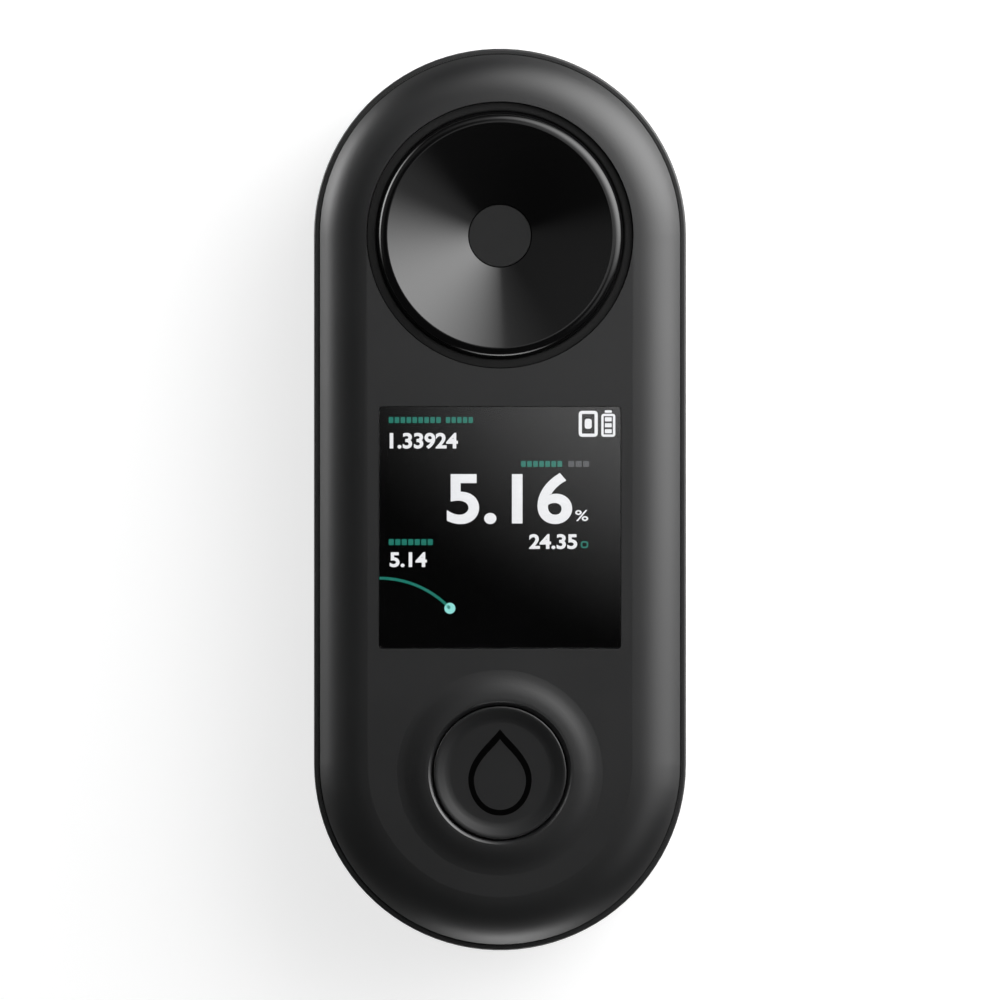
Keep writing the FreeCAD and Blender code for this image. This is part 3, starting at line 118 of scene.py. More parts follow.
def vector_maths(tree, operation, *values, output="Vector"):
    node = add(tree, "ShaderNodeVectorMath", operation=operation)
    feed(tree, node, values)
    return node.outputs[output]


def split(tree, vector):
    """The X, Y and Z of a vector."""
    node = add(tree, "ShaderNodeSeparateXYZ")
    link(tree, vector, node.inputs["Vector"])
    return node.outputs


def combine(tree, **parts):
    """A vector from sockets for some of X, Y and Z."""
    node = add(tree, "ShaderNodeCombineXYZ")
    for title, part in parts.items():
        link(tree, part, node.inputs[title])
    return node.outputs["Vector"]


def ramp(tree, value, low, high, first, last, **settings):
    """A value that goes from first to last while another one goes from low to high."""
    node = add(
        tree,
        "ShaderNodeMapRange",
        From_Min=low,
        From_Max=high,
        To_Min=first,
        To_Max=last,
        **settings,
    )
    link(tree, value, node.inputs["Value"])
    return node.outputs["Result"]


def tint(tree, colour, value):
    """A colour made darker or lighter by a value."""
    node = add(
        tree,
        "ShaderNodeMix",
        data_type="RGBA",
        blend_type="MULTIPLY",
        Factor=1.0,
        A=(*colour, 1),
    )
    link(tree, value, node.inputs["B"])
    return node.outputs["Result"]


# Shared effects

FLOAT = "NodeSocketFloat"


def new_group(name, inputs, outputs):
    """A group with named number sockets; returns its tree and its two end nodes."""
    tree = bpy.data.node_groups.new(name, "ShaderNodeTree")
    for title, value in inputs:
        socket = tree.interface.new_socket(name=title, in_out="INPUT", socket_type=FLOAT)
        socket.default_value = value
    for title in outputs:
        tree.interface.new_socket(name=title, in_out="OUTPUT", socket_type=FLOAT)
    return tree, tree.nodes.new("NodeGroupInput"), tree.nodes.new("NodeGroupOutput")


def per_metre(tree, size):
    """How many features of a size in mm there are in a metre, which is a texture's scale."""
    return maths(tree, "DIVIDE", 1000, size)


def make_grain():
    """Fine moulded or blasted grain, from soft noise to sharp pits."""
    tree, given, out = new_group("grain", [("Size in mm", 0.2), ("Sharpness", 0.5)], ["Height"])
    place = add(tree, "ShaderNodeTexCoord")
    scale = per_metre(tree, given.outputs["Size in mm"])
    noise = add(tree, "ShaderNodeTexNoise", noise_dimensions="3D", Detail=3.0, Roughness=0.6)
    pits = add(tree, "ShaderNodeTexVoronoi", feature="F1")
    for texture in (noise, pits):
        link(tree, place.outputs["Object"], texture.inputs["Vector"])
        link(tree, scale, texture.inputs["Scale"])
    mix = add(tree, "ShaderNodeMix", data_type="FLOAT")
    link(tree, given.outputs["Sharpness"], mix.inputs["Factor"])
    link(tree, noise.outputs["Fac"], mix.inputs["A"])
    link(tree, pits.outputs["Distance"], mix.inputs["B"])
    link(tree, mix.outputs["Result"], out.inputs["Height"])
    return tree


def make_mottle():
    """Slow uneven tone round 1, as of handling, dust and moulding flow."""
    tree, given, out = new_group("mottle", [("Size in mm", 12.0), ("Amount", 0.2)], ["Tone"])
    place = add(tree, "ShaderNodeTexCoord")
    noise = add(tree, "ShaderNodeTexNoise", noise_dimensions="3D", Detail=4.0, Roughness=0.55)
    link(tree, place.outputs["Object"], noise.inputs["Vector"])
    link(tree, per_metre(tree, given.outputs["Size in mm"]), noise.inputs["Scale"])
    centred = maths(tree, "SUBTRACT", noise.outputs["Fac"], 0.5)
    tone = maths(tree, "MULTIPLY_ADD", centred, given.outputs["Amount"], 1.0)
    link(tree, tone, out.inputs["Tone"])
    return tree


def make_scuffs():
    """Hairline marks in one direction, for polished and turned faces."""
    tree, given, out = new_group(
        "scuffs", [("Length in mm", 6.0), ("Width in mm", 0.08), ("Amount", 0.3)], ["Mark"]
    )
    place = add(tree, "ShaderNodeTexCoord")
    turn = add(tree, "ShaderNodeMapping", Rotation=(0.3, 0.2, 0.7))
    link(tree, place.outputs["Object"], turn.inputs["Vector"])
    along = per_metre(tree, given.outputs["Length in mm"])
    across = per_metre(tree, given.outputs["Width in mm"])
    stretch = combine(tree, X=along, Y=across, Z=across)
    scaled = vector_maths(tree, "MULTIPLY", turn.outputs["Vector"], stretch)
    noise = add(tree, "ShaderNodeTexNoise", noise_dimensions="3D", Scale=1.0, Detail=2.0)
    link(tree, scaled, noise.inputs["Vector"])
    sharp = ramp(tree, noise.outputs["Fac"], 0.6, 0.75, 0.0, 1.0)
    link(tree, maths(tree, "MULTIPLY", sharp, given.outputs["Amount"]), out.inputs["Mark"])
    return tree


GRAIN = make_grain()
MOTTLE = make_mottle()
SCUFFS = make_scuffs()


def use(tree, group, output, **values):
    """One output of a shared effect, with the effect's inputs set by name."""
    node = tree.nodes.new("ShaderNodeGroup")
    node.node_tree = group
    for name, value in values.items():
        node.inputs[name.replace("_", " ")].default_value = value
    return node.outputs[output]


# Finishes


def new_material(name, **values):
    """A material, its tree and its shader, with the shader's inputs set by name."""
    material = bpy.data.materials.new(name)
    material.use_nodes = True
    shader = material.node_tree.nodes["Principled BSDF"]
    for title, value in values.items():
        shader.inputs[title.replace("_", " ")].default_value = value
    return material, material.node_tree, shader


def finish(
    name,
    colour,
    roughness,
    grain=0.2,
    depth=0.004,
    mottle=12.0,
    uneven=0.25,
    scuffs=0.0,
    **shader_values,
):
    """A finish with grain, uneven tone and fine marks. Sizes are in mm."""
    material, tree, shader = new_material(name, **shader_values)
    tone = use(tree, MOTTLE, "Tone", Size_in_mm=mottle, Amount=uneven)
    link(tree, tint(tree, colour, tone), shader.inputs["Base Color"])
    rough = maths(tree, "MULTIPLY", roughness, tone)
    if scuffs:
        rough = maths(tree, "ADD", rough, use(tree, SCUFFS, "Mark", Amount=scuffs))
    link(tree, rough, shader.inputs["Roughness"])
    height = use(tree, GRAIN, "Height", Size_in_mm=grain, Sharpness=0.3)
    bump = add(tree, "ShaderNodeBump", Strength=1.0, Distance=depth * MM)
    link(tree, height, bump.inputs["Height"])
    link(tree, bump.outputs["Normal"], shader.inputs["Normal"])
    return material


def recolour(material, mask, colour):
    """Lay another colour over a finish where a mask is 1."""
    tree = material.node_tree
    base = tree.nodes["Principled BSDF"].inputs["Base Color"]
    over = add(tree, "ShaderNodeMix", data_type="RGBA", B=(*colour, 1))
    link(tree, mask, over.inputs["Factor"])
    link(tree, base.links[0].from_socket, over.inputs["A"])
    link(tree, over.outputs["Result"], base)


def lay_tracks(material):
    """Conductors under the lacquer of a board."""
    tree = material.node_tree
    place = add(tree, "ShaderNodeTexCoord")
    tracks = add(
        tree,
        "ShaderNodeTexBrick",
        offset=0.37,
        squash=1.7,
        squash_frequency=3,
        Scale=260.0,
        Mortar_Size=0.05,
        Mortar_Smooth=0.1,
        Brick_Width=1.1,
        Row_Height=0.3,
    )
    link(tree, place.outputs["Object"], tracks.inputs["Vector"])
    recolour(material, tracks.outputs["Fac"], (0.05, 0.2, 0.09))


def tape_end(material, foil_metallic, tape_width):
    """Amber tape over the folded end of the cell, which isn't metal."""
    tree = material.node_tree
    place = add(tree, "ShaderNodeTexCoord")
    along = split(tree, place.outputs["Object"])["Y"]
    taped = maths(tree, "GREATER_THAN", along, CELL_END - tape_width * MM)
    recolour(material, taped, (0.45, 0.19, 0.03))
    bare = maths(tree, "SUBTRACT", foil_metallic, taped)
    link(tree, bare, tree.nodes["Principled BSDF"].inputs["Metallic"])


def blacken_edges(material):
    """Cut edges ground and painted black, so that only the level faces let light through."""
    tree = material.node_tree
    side = add(tree, "ShaderNodeNewGeometry")
    upright = maths(tree, "ABSOLUTE", split(tree, side.outputs["Normal"])["Z"])
    face = maths(tree, "GREATER_THAN", upright, 0.5)
    recolour(material, maths(tree, "SUBTRACT", 1.0, face), (0.004, 0.004, 0.004))
    link(tree, face, tree.nodes["Principled BSDF"].inputs["Transmission Weight"])


CASE = finish(
    "moulded_case_black",
    (0.0078, 0.0079, 0.0082),
    0.37,
    grain=0.16,
    depth=0.006,
    Specular_IOR_Level=0.62,
)
POLISHED = finish(
    "polished_black",
    (0.0022, 0.0022, 0.0023),
    0.14,
    grain=0.6,
    depth=0.0004,
    uneven=0.15,
    Specular_IOR_Level=0.45,
)
EASED = finish(
    "eased_edge_black", (0.008, 0.008, 0.0085), 0.3, depth=0.002, Specular_IOR_Level=0.6
)
BUTTON = finish("button_satin_black", (0.008, 0.0081, 0.0084), 0.36, grain=0.14)
PRISM_FACE = finish(
    "prism_ground_face",
    (0.006, 0.0061, 0.0063),
    0.5,
    grain=0.1,
    depth=0.003,
    Specular_IOR_Level=0.4,
)
SEAL = finish(
    "seal_rubber", (0.006, 0.006, 0.006), 0.7, grain=0.3, depth=0.01, Specular_IOR_Level=0.25
)
SILICONE = finish("silicone_grey", (0.08, 0.08, 0.085), 0.55, grain=0.4, depth=0.005)
INNER = finish("inner_matt_black", (0.015, 0.015, 0.016), 0.6, grain=0.3, depth=0.01)
CREAM = finish("connector_cream", (0.62, 0.57, 0.45), 0.45, grain=0.25)
STEEL = finish("machine_steel", (0.5, 0.5, 0.51), 0.32, grain=0.1, scuffs=0.2, Metallic=1.0)
BLACK_STEEL = finish("black_oxide_steel", (0.04, 0.04, 0.043), 0.4, grain=0.15, Metallic=0.6)
BRIGHT = finish("bright_strip", (0.62, 0.61, 0.59), 0.25, grain=0.1, scuffs=0.15, Metallic=1.0)
BOARD = finish("board_green", (0.012, 0.09, 0.04), 0.35, grain=0.5, depth=0.01, mottle=3.0)
CHIP = finish("chip_black", (0.012, 0.012, 0.013), 0.55, depth=0.008)
AMBER = finish("ribbon_amber", (0.42, 0.17, 0.03), 0.3, grain=0.6, depth=0.003)
PANEL = finish(
    "panel_dark_glass",
    (0.0012, 0.0012, 0.0013),
    0.6,
    grain=0.5,
    depth=0.0002,
    Specular_IOR_Level=0.0,
)
TAPE = finish("foam_tape", (0.01, 0.01, 0.01), 0.8, grain=0.3, depth=0.02)
RESIN = finish("lamp_resin", (0.75, 0.42, 0.12), 0.15, grain=0.8, depth=0.001)
FOIL = finish("cell_foil", (0.55, 0.56, 0.57), 0.3, grain=0.8, depth=0.02, scuffs=0.2)
FOAM = finish("foam_grey", (0.1, 0.1, 0.1), 0.9, grain=0.4, depth=0.05)
LEAD = finish("lead_red", (0.32, 0.015, 0.012), 0.45, grain=0.3, depth=0.003)
GOLD = finish("contact_gold", (0.85, 0.6, 0.25), 0.3, grain=0.1, scuffs=0.1, Metallic=1.0)
INK = finish("mark_ink", (0.0004, 0.0004, 0.0004), 0.6, depth=0.001, Specular_IOR_Level=0.02)
CERAMIC = finish("chip_ceramic", (0.42, 0.29, 0.17), 0.5)
GLASS = finish(
    "window_glass", (0.88, 0.88, 0.89), 0.03, grain=6.0, depth=0.00003, uneven=0.02, IOR=1.49
)
LENS = finish(
    "lens_glass",
    (0.95, 0.97, 0.97),
    0.02,
    grain=3.0,
    depth=0.0001,
    uneven=0.02,
    Transmission_Weight=1.0,
    IOR=1.52,
)
lay_tracks(BOARD)
tape_end(FOIL, foil_metallic=0.9, tape_width=4)
blacken_edges(GLASS)

FINISHES = {
    CASE: ["front_cover", "rear_cover"],
    POLISHED: ["sample_dish"],
    BUTTON: ["button_cap"],
    PRISM_FACE: ["prism"],
    SEAL: ["dish_seal", "housing_seal", "prism_seal", "socket_seal"],
    SILICONE: ["button_membrane"],
    INNER: ["display_frame", "optics_block", "switch_body", "socket_tongue", "buzzer"],
    CREAM: [
        "display_connector",
        "sensor_connector",
        "lamp_connector",
        "battery_connector",
        "switch_plunger",
    ],
    STEEL: [
        "dish_clamp_ring",
        "dish_clamp_screws",
        "optics_screws",
        "path_board_screws",
        "board_screws",
    ],
    BLACK_STEEL: ["case_screws"],
    BRIGHT: ["snap_dome", "socket_shell", "radio_module", "temperature_probe"],
    BOARD: ["main_board", "lamp_board", "sensor_board"],
    CHIP: ["processor", "charge_controller", "charging_coil", "line_sensor"],
    AMBER: ["display_ribbon", "sensor_ribbon"],
    PANEL: ["display_panel"],
    TAPE: ["window_adhesive"],
    RESIN: ["lamp"],
    FOIL: ["battery"],
    FOAM: ["battery_pad"],
    LEAD: ["battery_leads", "lamp_leads"],
    CERAMIC: ["chip_components"],
    GLASS: ["display_window"],
    LENS: ["condenser_lens", "imaging_lens"],
}
for material, names in FINISHES.items():
    for name in names:
        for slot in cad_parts[name].material_slots:
            slot.material = material


# Lit parts of the screen

ROWS_PER_METRE = 14000.0
ROW_GAP_TONE = 0.86


def glow(name, colour, strength):
    """A lit part of the screen, with the fine rows of its dots."""
    material, tree, shader = new_material(
        name, Base_Color=(0.002, 0.002, 0.002, 1), Roughness=0.5, Emission_Strength=strength
    )
    place = add(tree, "ShaderNodeTexCoord")
    rows = add(
        tree, "ShaderNodeTexWave", bands_direction="Y", Scale=ROWS_PER_METRE / (2 * math.pi)
    )
    link(tree, place.outputs["Object"], rows.inputs["Vector"])
    dimmed = ramp(tree, rows.outputs["Fac"], 0.0, 1.0, ROW_GAP_TONE, 1.0)
    link(tree, tint(tree, colour, dimmed), shader.inputs["Emission Color"])
    return material


WHITE = glow("screen_white", (0.96, 0.97, 0.98), 1.12)
TEAL = glow("screen_teal", (0.008, 0.20, 0.145), 1.1)
MINT = glow("screen_mint", (0.30, 0.78, 0.72), 1.2)
GREY = glow("screen_grey", (0.10, 0.105, 0.11), 1.0)


# Modelling helpers

WELD = 0.002 * MM
SAME_PLACE = 0.01 * MM
TURNED_SEGMENTS = 256


def start(operator, **values):
    """Add a primitive with nothing else selected and open it for editing."""
    bpy.ops.object.select_all(action="DESELECT")
    operator(**values)
    piece = bpy.context.object
    bpy.ops.object.mode_set(mode="EDIT")
    take_all("FACE")
    return piece


def take_all(mode):
    """Select everything in edit mode as VERT, EDGE or FACE."""
    bpy.ops.mesh.select_mode(type=mode)
    bpy.ops.mesh.select_all(action="SELECT")


def pick(piece, test, kind):
    """Select the verts, edges or faces of a piece in edit mode that pass a test.

    The test gets a point's place, an edge's two ends, or a face's middle and normal.
    """
    mode = {"verts": "VERT", "edges": "EDGE", "faces": "FACE"}[kind]
    bpy.ops.mesh.select_mode(type=mode)
    bpy.ops.mesh.select_all(action="DESELECT")
    mesh = bmesh.from_edit_mesh(piece.data)
    for item in getattr(mesh, kind):
        if kind == "verts":
            item.select = test(item.co)
        elif kind == "edges":
            item.select = test(*(vert.co for vert in item.verts))
        else:
            item.select = test(item.calc_center_median(), item.normal)
    mesh.select_flush_mode()
    bmesh.update_edit_mesh(piece.data)


def settle(piece):
    """Leave edit mode with only this piece selected, and put its place into its mesh."""
    if bpy.context.mode != "OBJECT":
        bpy.ops.object.mode_set(mode="OBJECT")
    bpy.ops.object.select_all(action="DESELECT")
    bpy.context.view_layer.objects.active = piece
    piece.select_set(True)
    bpy.ops.object.transform_apply(location=True, rotation=True, scale=True)


def done(piece, name, material, body="housing", angle=None):
    """Settle a piece and give it its name, finish and body.

    Edges flatter than the angle, in degrees, are shaded smooth.
    """
    settle(piece)
    piece.name = name
    piece.data.name = name
    piece.data.materials.clear()
    piece.data.materials.append(material)
    if angle:
        bpy.ops.object.shade_smooth_by_angle(angle=math.radians(angle))
        even = piece.modifiers.new("even_shading", "WEIGHTED_NORMAL")
        even.weight = 100
        even.keep_sharp = True
        bpy.ops.object.modifier_apply(modifier=even.name)
    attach(piece, body)


def extrude(rise):
    bpy.ops.mesh.extrude_region_move(TRANSFORM_OT_translate={"value": (0, 0, rise)})


def turned(middle, profile):
    """Extrude a ring of points along a closed outline of radii and levels in mm."""
    radius, level = profile[0]
    piece = start(
        bpy.ops.mesh.primitive_circle_add,
        vertices=TURNED_SEGMENTS,
        radius=radius * MM,
        fill_type="NOTHING",
        location=(0, middle, level * MM),
    )
    take_all("VERT")
    for next_radius, next_level in profile[1:] + profile[:1]:
        extrude((next_level - level) * MM)
        share = next_radius / radius
        bpy.ops.transform.resize(
            value=(share, share, 1), center_override=(0, middle, next_level * MM)
        )
        radius, level = next_radius, next_level
    bpy.ops.mesh.select_all(action="SELECT")
    bpy.ops.mesh.remove_doubles(threshold=WELD)
    bpy.ops.mesh.normals_make_consistent(inside=False)
    return piece


def round_rings(piece, *rings):
    """Round edge rings, each with its radius, level, width of the round and segments, in mm."""
    for radius, level, width, segments in rings:
        height = level * MM - piece.location.z

        def on_ring(place):
            off = math.hypot(place.x, place.y) - radius * MM
            return abs(off) < SAME_PLACE and abs(place.z - height) < SAME_PLACE

        pick(piece, lambda first, second: on_ring(first) and on_ring(second), "edges")
        bpy.ops.mesh.bevel(offset=width * MM, segments=segments, affect="EDGES")


def drill(piece, middle, holes, low, high):
    """Cut round holes between two levels, each with its place across and along, and radius."""
    bpy.ops.object.mode_set(mode="OBJECT")
    low, high = low * MM, high * MM
    for across, along, radius in holes:
        bpy.ops.object.select_all(action="DESELECT")
        bpy.ops.mesh.primitive_cylinder_add(
            vertices=32,
            radius=radius * MM,
            depth=high - low,
            location=(across * MM, middle + along * MM, (low + high) / 2),
        )
        cutter = bpy.context.object
        bpy.context.view_layer.objects.active = piece
        hole = piece.modifiers.new("hole", "BOOLEAN")
        hole.operation = "DIFFERENCE"
        hole.object = cutter
        bpy.ops.object.modifier_apply(modifier=hole.name)
        bpy.data.objects.remove(cutter, do_unlink=True)


def join(pieces):
    """Make one object of several, or take the only one."""
    bpy.ops.object.select_all(action="DESELECT")
    for piece in pieces:
        piece.select_set(True)
    bpy.context.view_layer.objects.active = pieces[0]
    if len(pieces) > 1:
        bpy.ops.object.join()
    return pieces[0]


# Sample dish: cone and round bead, turned in one piece, with its threaded holes behind.
# Radii and levels of turned pieces are in mm.

DISH_BOTTOM = 13.0
BOSS = 12.6
FLANGE = 16.2
FLANGE_BOTTOM = 15.0
FLANGE_TOP = 16.5
NECK = 14.15
BEAD_TOP = 20.1
CONE_MOUTH = 12.95
CONE_FOOT = 3.6
CONE_FOOT_LEVEL = 14.9
SCREW_ACROSS = 9.0
SCREW_ALONG = 6.0
SCREW_HOLE = 0.72
PROBE_ACROSS = 10.9
PROBE_HOLE = 0.9
HOLES_LOW = 12.9
HOLES_HIGH = 14.7

dish = turned(
    WELL_Y,
    [
        (CONE_FOOT, DISH_BOTTOM),
        (BOSS, DISH_BOTTOM),
        (BOSS, FLANGE_BOTTOM),
        (FLANGE, FLANGE_BOTTOM),
        (FLANGE, FLANGE_TOP),
        (NECK, FLANGE_TOP),
        (NECK, BEAD_TOP),
        (CONE_MOUTH, BEAD_TOP),
        (CONE_FOOT, CONE_FOOT_LEVEL),
    ],
)
round_rings(
    dish,
    (NECK, BEAD_TOP, 1.2, 14),
    (CONE_MOUTH, BEAD_TOP, 0.05, 4),
    (CONE_FOOT, CONE_FOOT_LEVEL, 0.1, 4),
    (FLANGE, FLANGE_TOP, 0.15, 3),
    (FLANGE, FLANGE_BOTTOM, 0.15, 3),
)
dish_holes = [
    (side * SCREW_ACROSS, end * SCREW_ALONG, SCREW_HOLE) for side in (-1, 1) for end in (-1, 1)
]
dish_holes.append((PROBE_ACROSS, 0, PROBE_HOLE))
drill(dish, WELL_Y, dish_holes, HOLES_LOW, HOLES_HIGH)
done(dish, "sample_dish_turned", POLISHED, angle=50)
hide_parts("sample_dish")


# The seal between dish and cover, fitted to the dish's neck

SEAL_INNER = NECK + 0.03
SEAL_RIM = 15.27
SEAL_STEP = 17.3

seal = turned(
    WELL_Y,
    [
        (SEAL_INNER, FLANGE_TOP),
        (FLANGE, FLANGE_TOP),
        (FLANGE, SEAL_STEP),
        (SEAL_RIM, SEAL_STEP),
        (SEAL_RIM, SEAL_TOP),
        (SEAL_INNER, SEAL_TOP),
    ],
)
round_rings(seal, (SEAL_RIM, SEAL_TOP, 0.12, 3), (SEAL_INNER, SEAL_TOP, 0.3, 6))
done(seal, "dish_seal_turned", SEAL, angle=50)
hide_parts("dish_seal")


# Button cap: rolled rim, sloped ring and flat middle, hollow behind, with a post in the hollow

CAP_EDGE = 7.6
CAP_TOP = 20.0
CAP_FACE = 19.65
CAP_BOTTOM = 16.3
CAP_FLANGE = 8.7
CAP_FLANGE_TOP = 17.2
SLOPE_OUTER = 7.25
SLOPE_INNER = 6.05
HOLLOW = 6.7
HOLLOW_TOP = 18.4
POST = 2.0
CORE = 0.5  # left open while turning, and closed to a point afterwards

cap = turned(
    BUTTON_Y,
    [
        (POST, CAP_BOTTOM),
        (POST, HOLLOW_TOP),
        (HOLLOW, HOLLOW_TOP),
        (HOLLOW, CAP_BOTTOM),
        (CAP_FLANGE, CAP_BOTTOM),
        (CAP_FLANGE, CAP_FLANGE_TOP),
        (CAP_EDGE, CAP_FLANGE_TOP),
        (CAP_EDGE, CAP_TOP),
        (SLOPE_OUTER, CAP_TOP),
        (SLOPE_INNER, CAP_FACE),
        (CORE, CAP_FACE),
        (CORE, CAP_BOTTOM),
    ],
)
round_rings(
    cap,
    (CAP_EDGE, CAP_TOP, 0.13, 5),
    (SLOPE_OUTER, CAP_TOP, 0.15, 5),
    (SLOPE_INNER, CAP_FACE, 0.4, 6),
    (CAP_FLANGE, CAP_FLANGE_TOP, 0.12, 3),
)
pick(cap, lambda place: math.hypot(place.x, place.y) < (CORE + 0.01) * MM, "verts")
bpy.ops.transform.resize(value=(0, 0, 1), center_override=(0, BUTTON_Y, 0))
bpy.ops.mesh.select_all(action="SELECT")
bpy.ops.mesh.remove_doubles(threshold=WELD)
done(cap, "button_cap_turned", BUTTON, body="button", angle=40)
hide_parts("button_cap")


# The eased edge of the hole that the cap sits in: a ring set in the cover

HOLE_INNER = CAP_EDGE + 0.12
HOLE_OUTER = 8.21
HOLE_LOW = 18.9
HOLE_SLOPE_LOW = 19.66
HOLE_SLOPE_HIGH = 20.003

lip = turned(
    BUTTON_Y,
    [
        (HOLE_INNER, HOLE_LOW),
        (HOLE_OUTER, HOLE_LOW),
        (HOLE_OUTER, HOLE_SLOPE_HIGH),
        (HOLE_INNER, HOLE_SLOPE_LOW),
    ],
)
round_rings(lip, (HOLE_INNER, HOLE_SLOPE_LOW, 0.12, 4))
done(lip, "button_hole_edge", EASED, angle=50)


# Drop mark printed on the cap: a circle drawn out to a tip, with a smaller one cut out of it

MARK_SIZES = (3.6, 2.95)
MARK_LOWER = 1.3  # how far the circles' middle lies below the cap's, to centre the drop
INK_LIFT = 0.006
TIP_REACH = 1.75
HANDLE_OUT = 0.3
HANDLE_DOWN = 0.42

bpy.ops.object.select_all(action="DESELECT")
outlines = []
for size in MARK_SIZES:
    bpy.ops.curve.primitive_bezier_circle_add(radius=size * MM, location=(0, 0, 0))
    outline = bpy.context.object
    outline.data.dimensions = "2D"
    outline.data.resolution_u = 24
    top = max(outline.data.splines[0].bezier_points, key=lambda point: point.co.y)
    top.handle_left_type = "FREE"
    top.handle_right_type = "FREE"
    tip = Vector((0, size * TIP_REACH * MM, 0))
    top.co = tip
    top.handle_left = tip + Vector((-HANDLE_OUT * size * MM, -HANDLE_DOWN * size * MM, 0))
    top.handle_right = tip + Vector((HANDLE_OUT * size * MM, -HANDLE_DOWN * size * MM, 0))
    outlines.append(outline)
mark = join(outlines)
mark.data.fill_mode = "BOTH"
mark.data.extrude = INK_LIFT * MM
bpy.ops.object.convert(target="MESH")
mark = bpy.context.object
mark.location = (0, BUTTON_Y - MARK_LOWER * MM, (CAP_FACE + INK_LIFT) * MM)
done(mark, "button_drop_mark", INK, body="button")


# Display window: flange and raised pane with eased edges

PANE_WIDTH = WINDOW[1].x - WINDOW[0].x
PANE_BASE = WINDOW[0].z
PANE_FLANGE_LOW = 0.08 * MM
PANE_FLANGE_HIGH = 0.8 * MM
PANE_FLANGE_REACH = 1.55 * MM
PANE_CORNER = 0.4 * MM
PANE_EASE = 0.05 * MM

pane = start(
    bpy.ops.mesh.primitive_cube_add,
    size=1,
    location=(0, SCREEN_Y, PANE_BASE + (PANE_FLANGE_LOW + PANE_FLANGE_HIGH) / 2),
    scale=(PANE_WIDTH, PANE_WIDTH, PANE_FLANGE_HIGH - PANE_FLANGE_LOW),
)
settle(pane)
bpy.ops.object.mode_set(mode="EDIT")
pick(pane, lambda middle, normal: normal.z > 0.9, "faces")
bpy.ops.mesh.inset(thickness=PANE_FLANGE_REACH)
extrude(WINDOW[1].z - PANE_BASE - PANE_FLANGE_HIGH)
pick(
    pane,
    lambda first, second: (first - second).xy.length < 1e-6 and abs(first.z - second.z) > 0.1 * MM,
    "edges",
)
bpy.ops.mesh.bevel(offset=PANE_CORNER, segments=5, affect="EDGES")
pick(pane, lambda first, second: min(first.z, second.z) > FACE_Z - PANE_EASE, "edges")
bpy.ops.mesh.region_to_loop()
bpy.ops.mesh.bevel(offset=PANE_EASE, segments=2, affect="EDGES")
done(pane, "display_window_pane", GLASS, angle=30)
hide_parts("display_window")


# Screen content. Places are in pixels of the picture's frame, like those of a drawing.

SCREEN_Z = PANE_BASE + 0.02 * MM
LIT_HEIGHT = 0.015 * MM
TEXT_SIZE = 0.01
BLOCK_GAP = 1.3
BLOCK_CORNER = 0.9


def at(x, y):
    return (x - FRAME_MIDDLE[0]) * PIXEL, (FRAME_MIDDLE[1] - y) * PIXEL


def write(words, x0, x1, y0, y1, weight):
    """Figures as a flat mesh, fitted to a box of pixels."""
    bpy.ops.object.select_all(action="DESELECT")
    bpy.ops.object.text_add(location=(0, 0, 0))
    text = bpy.context.object.data
    text.body = words
    text.size = TEXT_SIZE
    text.offset = weight * TEXT_SIZE
    text.resolution_u = 8
    bpy.ops.object.convert(target="MESH")
    item = bpy.context.object
    points = [vert.co for vert in item.data.vertices]
    low_x = min(point.x for point in points)
    low_y = min(point.y for point in points)
    wide = max(point.x for point in points) - low_x
    tall = max(point.y for point in points) - low_y
    left, bottom = at(x0, y1)
    right, top = at(x1, y0)
    item.scale = ((right - left) / wide, (top - bottom) / tall, 1)
    item.location = (left - low_x * item.scale.x, bottom - low_y * item.scale.y, SCREEN_Z)
    settle(item)
    return item


def tile(x0, x1, y0, y1, corner, line=None):
    """A flat plate with round corners or, with a line width, just its outline."""
    left, bottom = at(x0, y1)
    right, top = at(x1, y0)
    item = start(
        bpy.ops.mesh.primitive_plane_add,
        size=1,
        location=((left + right) / 2, (bottom + top) / 2, SCREEN_Z),
    )
    bpy.ops.transform.resize(value=(right - left, top - bottom, 1))
    bpy.ops.mesh.select_mode(type="VERT")
    bpy.ops.mesh.bevel(offset=corner * PIXEL, segments=5, affect="VERTICES")
    if line:
        take_all("FACE")
        bpy.ops.mesh.inset(thickness=line * PIXEL)
        bpy.ops.mesh.delete(type="FACE")
    settle(item)
    return item


def blocks(x0, x1, y0, y1, count):
    """A row of small plates in place of a label's letters."""
    pitch = (x1 - x0 + BLOCK_GAP) / count
    lefts = [x0 + number * pitch for number in range(count)]
    return [tile(left, left + pitch - BLOCK_GAP, y0, y1, BLOCK_CORNER) for left in lefts]


def lit(items, name, material):
    """Join flat figures into one thin piece of the screen."""
    piece = join(items)
    bpy.ops.object.mode_set(mode="EDIT")
    take_all("FACE")
    extrude(LIT_HEIGHT)
    bpy.ops.mesh.select_all(action="SELECT")
    bpy.ops.mesh.normals_make_consistent(inside=False)
    done(piece, name, material)


